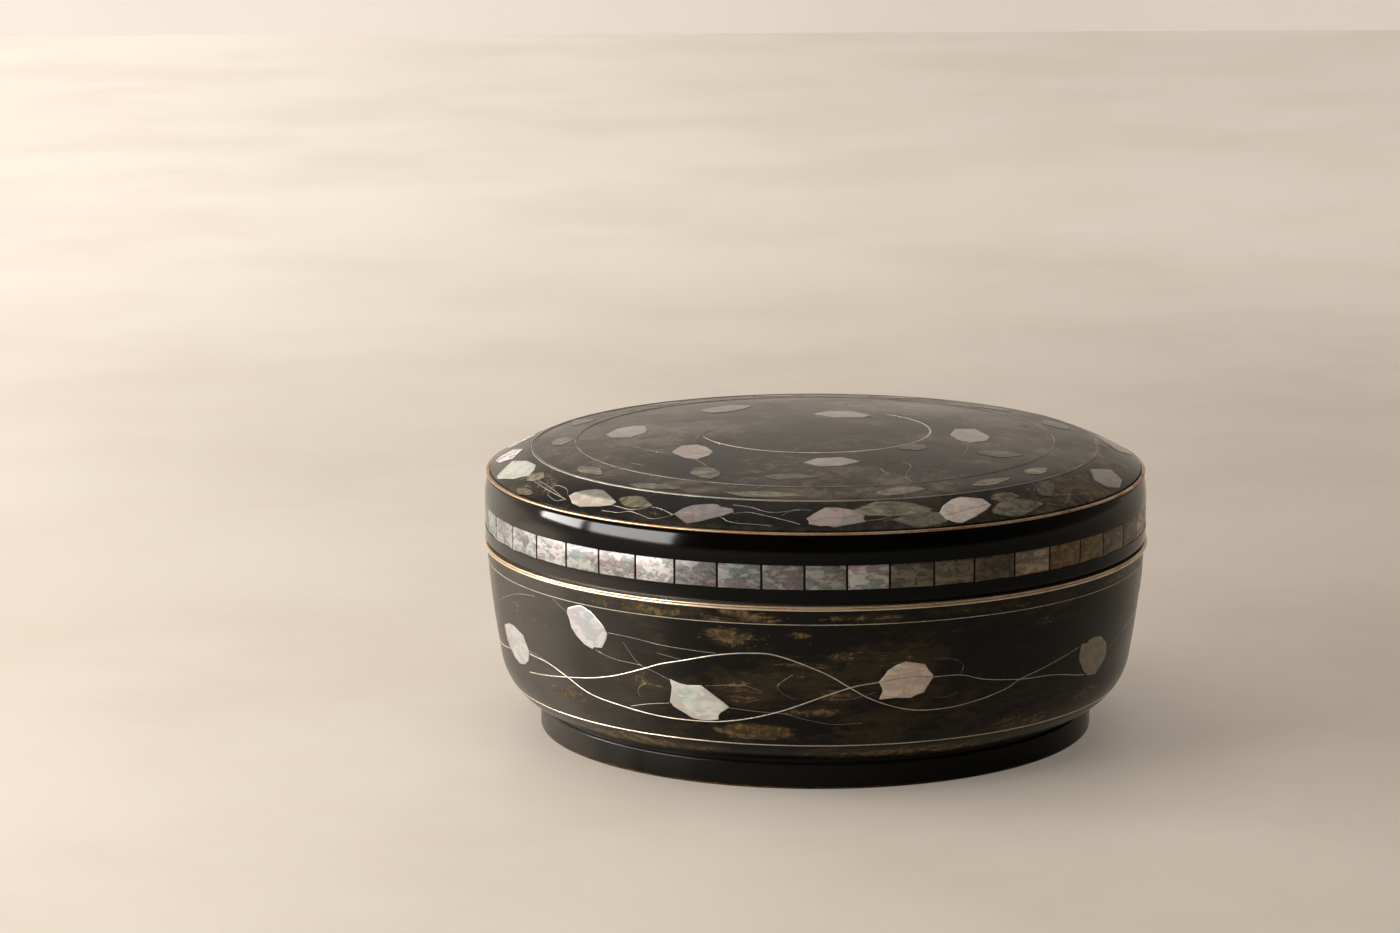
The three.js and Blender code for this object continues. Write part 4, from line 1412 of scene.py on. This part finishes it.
@dataclass
class Lid:
    """Cores, coats and ring wires of the upper half."""

    bore: float = 114.4
    coat: float = 1.8
    gap: float = 0.3
    joint: float = 19.5
    board: float = 6.4
    board_reach: float = 109.0
    foot_edge: float = 0.9
    foot_wall: float = 2.6
    band_low: float = 4.75
    band_high: float = 13.3
    band_depth: float = 1.1
    channel_lip: float = 0.1
    barrel_foot: float = 14.5
    barrel_radius: float = 32.0
    barrel_lean: float = 14.0
    top_round: float = 1.2
    edge_level: float = 24.0
    edge_root: float = 118.65
    edge_middle: float = 119.45
    edge_wire: float = 0.42
    twin_offset: float = 0.37
    twin_wire: float = 0.21
    ring_seat: float = 0.58
    inner_ring: float = 87.0
    inner_seat: float = 0.25
    patches: tuple[Patch, ...] = (
        Patch(-62, 110, 9, 7, 0.5), Patch(-33, 112, 5, 4, 0.4), Patch(14, 111, 8, 6, 0.4),
        Patch(36, 109, 4, 3, 0.5), Patch(50, 111, 14, 8, 0.5), Patch(82, 108, 16, 9, 0.5),
        Patch(-20, 93, 20, 5, 0.2), Patch(30, 80, 20, 10, 0.2), Patch(100, 75, 20, 12, 0.4),
        Patch(150, 60, 30, 12, 0.4), Patch(220, 85, 20, 10, 0.4), Patch(270, 60, 25, 12, 0.4),
        Patch(120, 110, 10, 5, 0.5), Patch(186, 110, 10, 5, 0.5), Patch(240, 110, 10, 5, 0.5),
    )
    # Painted sheen on the side coat: greyed haze for reflections of the window on the left and of the room on
    # the right.
    side_painted_sheens: tuple[Patch, ...] = (
        Patch(-68, 80, 11, 30, 0.55), Patch(-54, 71.5, 22, 4.4, 0.7), Patch(-56, 84.8, 7, 3.0, 0.8),
        Patch(80, 80, 15, 30, 0.85),
    )
    # Painted sheen on the left of the shoulder, for the window's reflection there.
    top_painted_sheens: tuple[Patch, ...] = (Patch(-88, 114, 15, 7, 0.9),)
    clear: tuple[Patch, ...] = (Patch(-20, 111, 66, 9.5, 0.95), Patch(165, 112, 80, 8.4, 0.6))

    def build(self) -> None:
        """Turns and dresses every ring of the lid."""
        self.build_cores()
        self.build_side()
        outline = [*LID.outline(0.0, LID.skin_radius)[::-1], *LID.outline(self.coat, LID.skin_radius)]
        top = Dressing(Half.LID, Slot.LACQUER, Finish.DOME).turn("top_coat", outline, "lid_top_lacquer")
        for name, patches in (("stain", self.patches), ("clear", self.clear), ("bloom", self.top_painted_sheens)):
            stain(top, patches, by_radius=True, name=name)
        self.build_wires()

    def build_cores(self) -> None:
        """Turns the side ring and the top board."""
        outer, foot, joint = LID.skin_radius, LID.seat, LID.seat + self.joint
        dressing = Dressing(Half.LID, Slot.CORE, Finish.INSIDE)
        ring = [(self.bore, foot), (outer, foot), (outer, joint), (self.bore, joint)]
        dressing.turn("lid_side_core", ring, "lid_wall_core")
        above = LID.outline(self.coat + self.gap, outer)
        below = LID.outline(self.board, self.board_reach)
        dressing.turn("lid_board", [*below[::-1], (self.bore, joint), (outer, joint), *above], "lid_top_core")

    def build_side(self) -> None:
        """Turns the side coat, with a channel for the shell tiles."""
        radius, edge, lip = LID.radius, self.foot_edge, self.channel_lip
        inner, channel = radius - self.coat, radius - self.band_depth
        foot = arc((radius - edge, edge), edge, -70, 0, 4)
        centre = (radius - self.barrel_radius, self.barrel_foot)
        barrel = arc(centre, self.barrel_radius, 0, self.barrel_lean, 6)
        (x, y), lean = barrel[-1], math.radians(self.barrel_lean)
        centre = (x - self.top_round * math.cos(lean), y - self.top_round * math.sin(lean))
        shoulder = arc(centre, self.top_round, self.barrel_lean, 65, 6)[1:]
        outline = [
            (inner, 0.0), (radius - edge, 0.0), *foot, (radius, self.foot_wall),
            (radius, self.band_low - lip), (radius - lip, self.band_low), (channel, self.band_low),
            (channel, self.band_high), (radius - lip, self.band_high), (radius, self.band_high + lip),
            *barrel, *shoulder, (inner, LID.side_height),
        ]
        raised = [(r, LID.seat + z) for r, z in outline]
        side = Dressing(Half.LID, Slot.LACQUER, Finish.SIDE).turn("side_coat", raised, "lid_side_lacquer")
        stain(side)
        stain(side, self.side_painted_sheens, name="bloom")

    def build_wires(self) -> None:
        """Turns the edge wire and the two rings of the dome."""
        level, wire = LID.seat + self.edge_level, self.edge_wire
        Dressing(Half.LID, Slot.COPPER, Finish.COPPER).turn("edge_wire", [
            (self.edge_root, level - 0.6), *arc((self.edge_middle, level), wire, -90, 90, 8),
            (self.edge_root, level + wire),
        ], "lid_edge_wire")
        ring, top = LID.ring_radius, float(LID.height(LID.ring_radius))
        beads = []
        for side in (self.twin_offset, -self.twin_offset):
            beads += arc((ring + side, top - 0.06), self.twin_wire, 0, 180, 6)
        Dressing(Half.LID, Slot.BRASS, Finish.RING).turn(
            "outer_ring", [(ring - self.ring_seat, top - 0.8), (ring + self.ring_seat, top - 0.8), *beads],
            "outer_ring_wire",
        )
        ring, top = self.inner_ring, float(LID.height(self.inner_ring))
        low, high = ring - self.inner_seat, ring + self.inner_seat
        Dressing(Half.LID, Slot.BRASS, Finish.STEM).turn("inner_ring", [
            (low, top - 0.5), (high, top - 0.5), (high, top + 0.03), *arc((ring, top), 0.2, 30, 150, 4),
            (low, top + 0.05),
        ])


@dataclass
class TileBand:
    """Shell tiles round the lid: flat hand-cut plates, each with its own width, tint and slight tilt."""

    front_joints: tuple[float, ...] = (
        -72.2, -64.2, -55.6, -47.4, -39.8, -32.3, -25.0, -17.6, -10.2, -3.2, 3.7, 10.7, 18.2, 25.4, 33.2,
        40.8, 48.5, 55.5, 63.3,
    )
    # Tones of the front tiles, partly their own and partly painted light: brighter on the lit left, darker to
    # the right.
    front_tones_with_painted_light: tuple[float, ...] = (
        0.52, 0.6, 0.74, 0.62, 0.62, 0.88, 0.37, 0.4, 0.39, 0.41, 0.64, 0.26, 0.29, 0.18, 0.56, 0.32, 0.28,
        0.27, 0.25,
    )
    back_count: int = 30
    back_tones: tuple[float, ...] = (0.3, 0.5, 0.7, 0.9, 1.0)
    warm: range = range(12, 41)
    golden: tuple[int, ...] = (16, 17, 24, 31, 38)
    warmth: Point = (0.3, 0.5)
    coolness: Point = (0.0, 0.08)
    gold: float = 0.66
    green_loss: float = 0.38
    swing: float = 0.4
    nod: float = 0.3
    seed: int = 23
    joint: float = 0.84
    low: float = 75.15
    high: float = 83.5
    plane: float = 120.1
    thickness: float = 0.8
    edge: float = 0.1
    blank_width: float = 10.0
    bar_depth: float = 0.15
    bar_gap: float = 0.06
    bar_edge: float = 0.05

    def joints(self) -> list[float]:
        """Gives the angles of all joints, the first one again at the end.

        Returns:
            The angles in degrees, rising.
        """
        first, last = self.front_joints[0] + 360, self.front_joints[-1]
        step = (first - last) / self.back_count
        return [*self.front_joints, *(last + step * (i + 1) for i in range(self.back_count))]

    def block(self, plane: float, width: float, spare: float, edge: float, segments: int) -> Piece:
        """Makes a plate that stands upright at the front of the band.

        Args:
            plane: distance of its face from the axis.
            width: its width.
            spare: height that it has over a tile's.
            edge: width of its bevel.
            segments: faces across the bevel.

        Returns:
            The plate.
        """
        middle = (0, -(plane - self.thickness / 2) * MM, (self.low + self.high) / 2 * MM)
        return Bench.block(middle, (width, self.thickness, self.high - self.low + spare), edge, segments)

    def build(self) -> None:
        """Makes one tile and copies it round the lid, and does the same with the bars between the tiles."""
        draw = random.Random(self.seed)
        joints = self.joints()
        blank = self.block(self.plane, self.blank_width, 0.0, self.edge, 2)
        tiles = Bench.repeat("shell_tile", blank, len(joints) - 1)
        dressing = Dressing(Half.LID, Slot.SHELL, Finish.TILE)
        for number, (tile, start, end) in enumerate(zip(tiles, joints, joints[1:]), start=1):
            width = 2 * LID.radius * math.tan(math.radians(end - start) / 2) - self.joint
            self.place(tile, width / self.blank_width, (start + end) / 2, draw)
            mark_cut(tile, self.tint(number, draw), draw)
            dressing.dress(tile)
        blank = self.block(LID.radius - self.bar_depth, self.joint - self.bar_gap, 0.1, self.bar_edge, 1)
        dressing = Dressing(Half.LID, Slot.LACQUER, Finish.SIDE)
        for bar, angle in zip(Bench.repeat("joint_fill", blank, len(joints) - 1), joints):
            bar.data.transform(Matrix.Rotation(math.radians(angle), 4, "Z"))
            stain(bar)
            dressing.dress(bar)

    def tint(self, number: int, draw: random.Random) -> Colour:
        """Chooses a tile's tint: measured tones with painted light in front, and golden tiles mostly behind.

        Args:
            number: number of the tile.
            draw: source of what isn't measured.

        Returns:
            The tint.
        """
        front = number <= len(self.front_tones_with_painted_light)
        tone = self.front_tones_with_painted_light[number - 1] if front else draw.choice(self.back_tones)
        warmth = draw.uniform(*(self.warmth if number in self.warm else self.coolness))
        warmth = self.gold if number in self.golden else warmth
        return tone, tone * (1 - self.green_loss * warmth), tone * (1 - warmth)

    def place(self, piece: Piece, stretch: float, angle: float, draw: random.Random) -> None:
        """Turns a tile to its place round the lid.

        Args:
            piece: the tile at the front.
            stretch: its width as a share of the width that it was made with.
            angle: angle of its middle.
            draw: source of its slight tilt.
        """
        middle = Vector((0, -self.plane * MM, (self.low + self.high) / 2 * MM))
        lean = Matrix.Rotation(math.radians(draw.uniform(-self.swing, self.swing)), 4, "Z")
        lean = lean @ Matrix.Rotation(math.radians(draw.uniform(-self.nod, self.nod)), 4, "X")
        tilt = Matrix.Translation(middle) @ lean @ Matrix.Translation(-middle)
        wide = Matrix.Diagonal((stretch, 1.0, 1.0, 1.0))
        piece.data.transform(Matrix.Rotation(math.radians(angle), 4, "Z") @ tilt @ wide)


@dataclass(frozen=True)
class Strand:
    """A wire let into the surface: its route, its width from end to end and the nodes that it stands for."""

    route: list[Point]
    width: float
    end_width: float | None = None
    start_width: float | None = None
    nodes: tuple[str, ...] = ()
    name: str = ""


@dataclass
class WireWork:
    """Vines or stems of one half. A strand without its own name has the work's name and a number."""

    half: Half
    strands: list[Strand]
    name: str = "vine"
    finish: Finish = Finish.VINE
    proud: float = 0.14
    steepest: float = 0.35
    taper: float = 0.35
    spacing: float = 1.6

    def build(self) -> None:
        """Draws every strand, lays it in its surface and dresses it."""
        for number, strand in enumerate(self.strands, start=1):
            self.lay(strand, strand.name or f"{self.name}_{number}")

    def lay(self, strand: Strand, name: str) -> None:
        """Draws one strand.

        Args:
            strand: the strand.
            name: name of the new piece.
        """
        form = FORMS[self.half]
        route = smooth_line([form.plan(*point) for point in strand.route], self.spacing)
        share = np.linspace(0.0, 1.0, len(route))
        start, end = strand.start_width or strand.width, strand.end_width or strand.width
        stops = [0.0, self.taper, 1.0 - self.taper, 1.0]
        widths = np.interp(share, stops, [start, strand.width, strand.width, end])
        proud = np.minimum(self.proud, self.steepest * widths)
        radii = (widths**2 / 4 + proud**2) / (2 * proud)
        line = [Vector((x * MM, y * MM, (p - r) * MM)) for (x, y), p, r in zip(route, proud, radii)]
        piece = Bench.tube(name, line, radii)
        form.lay_strand(piece)
        Dressing(self.half, Slot.BRASS, self.finish).dress(piece, *strand.nodes)


VINES = [
    Strand([
        (-61.5, 37.8), (-55.3, 37.1), (-50.2, 34.3), (-44.2, 29.9), (-36.2, 27.7), (-29.3, 26.3),
        (-22.9, 26.1), (-18, 26.6), (-12.8, 28.4), (-7, 31.7), (-0.2, 36.9), (4.9, 40.4), (9.2, 41.8),
    ], 0.39, start_width=0.3, nodes=("vine_wire_1",), name="vine_left"),
    Strand([
        (18.6, 42.5), (23.8, 42.2), (28.3, 39.6), (36, 37.4), (43.8, 36.3), (51.2, 33.4), (53.2, 32.8),
    ], 0.24, start_width=0.25, nodes=("vine_wire_5",), name="vine_right"),
    Strand([
        (-62.8, 30.5), (-57.3, 31.8), (-50.9, 33.7), (-43.7, 36), (-37.9, 38.8), (-32.4, 42.6),
        (-28.4, 45.6), (-24.2, 47.8), (-18.2, 50.8), (-12.6, 52.2), (-7.6, 51.6), (-0.2, 45.8), (4.4, 40.1),
        (7.6, 36.2), (11.6, 32.9), (15.7, 30.9), (19.9, 30.5), (24.2, 31.1), (28.7, 32.6), (33.3, 34.9),
        (36, 37.4), (40.7, 39.6), (50.4, 44),
    ], 0.41, end_width=0.18, start_width=0.35, name="vine_crossing",
        nodes=("vine_wire_2", "vine_wire_3", "vine_wire_4", "vine_wire_6")),
    Strand([
        (61.2, 39.4), (70, 44), (80, 44.6), (95, 42.4), (108.4, 41.3),
    ], 0.26, start_width=0.1, nodes=("vine_wire_7",), name="vine_back_1"),
    Strand([
        (119.6, 32.3), (131, 29), (145, 29.6), (160, 34), (172, 38), (183.6, 39.4),
    ], 0.39, nodes=("vine_wire_8",), name="vine_back_2"),
    Strand([
        (194.6, 35), (207, 31.6), (221, 30.4), (237, 33), (250.8, 35.4),
    ], 0.39, nodes=("vine_wire_9",), name="vine_back_3"),
    Strand([
        (261.2, 39.1), (270, 35), (279, 33.4), (288.6, 35.4),
    ], 0.39, nodes=("vine_wire_10",), name="vine_back_4"),
]

BASE_STEMS = [
    Strand([(-35.1, 28.4), (-31.5, 30.2), (-27.2, 31.6)], 0.28),
    Strand([(-41.7, 46.9), (-37.8, 45), (-33.2, 44.4), (-32, 44)], 0.14),
    Strand([(-38.6, 54.2), (-33.4, 53.8), (-28.2, 52.6), (-22.3, 51.9), (-18.1, 51.5)], 0.21, end_width=0.2),
    Strand([(-35.5, 51.7), (-32.7, 44.9), (-29.5, 42.4), (-26.7, 40.2)], 0.15),
    Strand([(-16.2, 31.9), (-10.5, 31), (-6.8, 30.6), (-2.9, 28.5), (1.7, 26.8), (6.5, 27.1)], 0.16),
    Strand([(-51.6, 62), (-50.3, 60.6), (-48.3, 58.8)], 0.18),
    Strand([(-76.4, 50.7), (-69.2, 55.8), (-63.2, 59.2), (-57.2, 60.9)], 0.19),
    Strand([(-61.8, 38.9), (-58.1, 38.6), (-55, 37.1)], 0.15),
    Strand([(-31.4, 37.9), (-32.8, 36.3), (-33.3, 34.2), (-32.8, 32.6)], 0.14),
    Strand([(-20.3, 39.3), (-16.4, 40.2), (-13.1, 40.3), (-10.4, 38.4)], 0.14),
    Strand([(-5.2, 44.9), (-6.8, 42.6), (-7.9, 40.4), (-7, 38.2), (-4.7, 35.8)], 0.13),
    Strand([(0.9, 35.8), (4.7, 36.1), (8.9, 38.3)], 0.13),
    Strand([(18.6, 49), (22.5, 48.2), (24.2, 45.3), (23.6, 42.9)], 0.13),
    Strand([(18.7, 35.2), (21.1, 34.7), (23.5, 36)], 0.13),
    Strand([(-28.8, 49.5), (-24.4, 48.1)], 0.14),
]

LID_ARCS = [
    Strand(
        [(turn, 42.0) for turn in range(-75, 141, 5)], 0.8, 0.25, 0.25, ("centre_arc_wire",), "centre_arc"
    ),
]

TENDRILS = [
    Strand([(-67.8, 111.6), (-57.8, 113.1), (-50.4, 115)], 0.29),
    Strand([(-67.8, 111.6), (-60.7, 111.1), (-52.3, 114.2)], 0.24),
    Strand([(-55.8, 115.2), (-57.5, 110.5), (-53.6, 110.3), (-51.4, 112.7)], 0.24),
    Strand([(-55.8, 115.2), (-52.6, 116.4), (-50.7, 115.1)], 0.24),
    Strand([(-39.2, 113.4), (-35, 114), (-31, 111.6), (-26.7, 114.1)], 0.27),
    Strand([
        (-40.7, 116.4), (-37.2, 116.2), (-34.9, 114.9), (-30.3, 116.9), (-28, 115.8), (-26.9, 114.3),
    ], 0.21),
    Strand([(-16, 111.4), (-13.4, 110.4), (-10.3, 111.7), (-4, 115.6)], 0.24),
    Strand([(-16.7, 106.7), (-13.4, 107.5), (-9.3, 110), (-4.2, 108.5)], 0.22),
    Strand([(-18.1, 113.3), (-15.4, 115.7), (-8.8, 116.5)], 0.21),
    Strand([(-7.3, 111.5), (-5.3, 108.4), (-2.2, 108.5)], 0.19),
    Strand([(7.4, 114.2), (10.4, 113.5), (13.8, 110.9), (16.7, 110.3)], 0.24),
    Strand([(-64.8, 49.1), (-78, 43), (-91.7, 37.5)], 0.36),
    Strand([(-43.4, 63.6), (-34.4, 69.2)], 0.24),
    Strand([(-76, 69.9), (-62.8, 66), (-54.7, 63.6)], 0.24),
    Strand([(-53.7, 89.2), (-55.9, 81.4), (-51, 79.8)], 0.27),
    Strand([(15, 55.8), (20.7, 55.9), (25.5, 57.4)], 0.4),
    Strand([(18.5, 66.5), (18.5, 73.3), (20.9, 74.1)], 0.32),
    Strand([(21.5, 61.9), (28, 61.4), (28.4, 67.5), (22.2, 78.6), (21.8, 84.8)], 0.24),
    Strand([(102.3, 57.4), (116.8, 61.8), (123.6, 61.3)], 0.36),
    Strand([(69.6, 58.5), (54.6, 64.3), (41.8, 69.4), (33.6, 70.2)], 0.36),
    Strand([(42.8, 114.8), (45.9, 116.9), (50.3, 112.9), (50.7, 108.6)], 0.22),
    Strand([(45.6, 111.7), (50, 113.3), (54.7, 115.6)], 0.21),
]


@dataclass(frozen=True)
class Pane:
    """A pane of the window: its direction and width, and the power of its light and of its reflection."""

    azimuth: float
    width: float
    power: float
    shine: float


@dataclass
class Studio:
    """Floor, backdrop, soft lights and the camera."""

    camera_place: Place = (-0.04192, -1.57406, 0.40509)
    camera_pitch: float = 78.831
    camera_roll: float = -0.266
    lens: float = 113.14
    daylight: Colour = (1.0, 0.97, 0.93)
    panes: tuple[Pane, ...] = (Pane(-95.0, 0.5, 8.0, 32.0), Pane(-65.0, 0.82, 13.0, 39.0))
    pane_distance: float = 1.4
    pane_level: float = 0.32
    pane_height: float = 0.44
    shine_share: float = 0.97
    dome_leaves: range = range(14, 20)
    shines: list[bpy.types.Object] = field(default_factory=list)

    def build(self) -> None:
        """Sets up the stage."""
        # Floor: painted light far off and on the left, painted shade near the window lamps. Wall: painted
        # light on its left.
        pale = Plain("pale_floor", (0.8, 0.72, 0.62), (0.73, 0.65, 0.55), 0.5, 0.14, 0.34, 0.52, 0.9)
        wall = Plain("pale_wall", (0.76, 0.68, 0.6), (0.74, 0.66, 0.58), 0.8, 0.66, 0.0, 0.42)
        floor = self.sheet("floor", pale, 9.0, (0, 0, -0.00005))
        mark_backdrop(floor, self.sheet("backdrop", wall, 7.0, (0, 2.6, 1.5), math.pi / 2))
        for number, pane in enumerate(self.panes, start=1):
            turn = math.radians(pane.azimuth)
            x, y = self.pane_distance * math.sin(turn), -self.pane_distance * math.cos(turn)
            size = (pane.width, self.pane_height)
            window = self.area(f"window_{number}", (x, y, self.pane_level), size, pane.power)
            window.visible_glossy = False
            near = (self.shine_share * x, self.shine_share * y, self.pane_level)
            size = (self.shine_share * pane.width, self.pane_height)
            shine = self.area(f"window_shine_{number}", near, size, pane.shine)
            shine.visible_diffuse = False
            self.shines.append(shine)
        self.area("ceiling", (-0.3, 0.2, 2.2), (2.4, 2.4), 14.0)
        self.build_world()
        self.build_camera()

    @staticmethod
    def sheet(name: str, plain: Plain, size: float, place: Place, pitch: float = 0.0) -> Piece:
        """Makes a flat sheet of the stage.

        Args:
            name: its name.
            plain: its finish.
            size: its length and width, in metres.
            place: its middle, in metres.
            pitch: its turn about the X axis, in radians.

        Returns:
            The sheet.
        """
        Bench.clear()
        bpy.ops.mesh.primitive_grid_add(
            x_subdivisions=4, y_subdivisions=4, size=size, location=place, rotation=(pitch, 0, 0)
        )
        piece = bpy.context.object
        piece.name = name
        piece.data.materials.append(plain.material())
        return piece

    def area(self, name: str, place: Place, size: Point, power: float) -> bpy.types.Object:
        """Hangs a soft lamp that faces the box.

        Args:
            name: name of the lamp.
            place: its middle, in metres.
            size: its width and height, in metres.
            power: its power in watts.

        Returns:
            The lamp.
        """
        Bench.clear()
        bpy.ops.object.light_add(type="AREA", location=place)
        lamp = bpy.context.object
        lamp.name = name
        lamp.data.shape = "RECTANGLE"
        lamp.data.size, lamp.data.size_y = size
        lamp.data.energy = power
        lamp.data.color = self.daylight
        lamp.rotation_euler = (Vector((0, 0, 0.05)) - Vector(place)).to_track_quat("-Z", "Y").to_euler()
        lamp.visible_camera = False
        return lamp

    def aim_shines(self) -> None:
        """Lets the window's reflection fall on the upright walls and their inlay alone.

        Without this the dome and the floor flash when they are seen from the side across from the window.
        """
        dome = ("top_coat", "lid_ghost", *(f"lid_shell_{number}" for number in self.dome_leaves))
        walls = bpy.data.collections.new("walls_in_window_light")
        for piece in bpy.data.objects:
            if piece.type == "MESH" and not piece.name.startswith(("floor", "backdrop", *dome)):
                walls.objects.link(piece)
        for lamp in self.shines:
            lamp.light_linking.receiver_collection = walls

    @staticmethod
    def build_world() -> None:
        """Fills the room with dim light, brighter behind the box than in front of it."""
        world = bpy.data.worlds.new("room")
        bpy.context.scene.world = world
        graph = Graph(world, "Background", "Generated")
        behind = graph.value("ShaderNodeSeparateXYZ", None, {0: graph.place}, "Y").step(-0.6, 0.7, "LINEAR")
        graph.finish(Color=graph.mix(behind, (0.035, 0.032, 0.028), (0.355, 0.302, 0.238)))

    def build_camera(self) -> None:
        """Sets the camera at the photograph's angle."""
        Bench.clear()
        bpy.ops.object.camera_add(location=self.camera_place)
        camera = bpy.context.object
        camera.name = "camera"
        camera.data.lens = self.lens
        camera.data.sensor_width = 36.0
        camera.data.clip_start = 0.01
        camera.data.clip_end = 50.0
        look = Euler((math.radians(self.camera_pitch), 0, 0)).to_matrix()
        roll = Euler((0, 0, math.radians(self.camera_roll))).to_matrix()
        camera.rotation_euler = (look @ roll).to_euler()
        bpy.context.scene.camera = camera


def main() -> None:
    """Builds the studio, and the box in it from the foot up."""
    logging.basicConfig(level=logging.INFO, format="%(message)s")
    studio = Studio()
    studio.build()
    Foot().build()
    Base().build()
    LeafSet(Half.BASE, BASE_LEAVES, seed=41).build()
    WireWork(Half.BASE, VINES).build()
    WireWork(Half.BASE, BASE_STEMS, "stem", Finish.STEM, proud=0.1).build()
    Lid().build()
    TileBand().build()
    LeafSet(Half.LID, LID_LEAVES, seed=57).build()
    LeafSet(Half.LID, GHOST_LEAVES, 57, "ghost", sunk=0.3, proud=0.02, chamfer=0.2, veiled=True).build()
    WireWork(Half.LID, LID_ARCS).build()
    WireWork(Half.LID, TENDRILS, "tendril", Finish.STEM, proud=0.1).build()
    studio.aim_shines()
    Bench.clear()
    bpy.context.scene.view_settings.view_transform = "Standard"
    boxes = {"cad": CAD_BOUNDS, "visual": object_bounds()}
    {name: [list(corner) for corner in box] for name, box in boxes.items()}


if __name__ == "__main__":
    main()
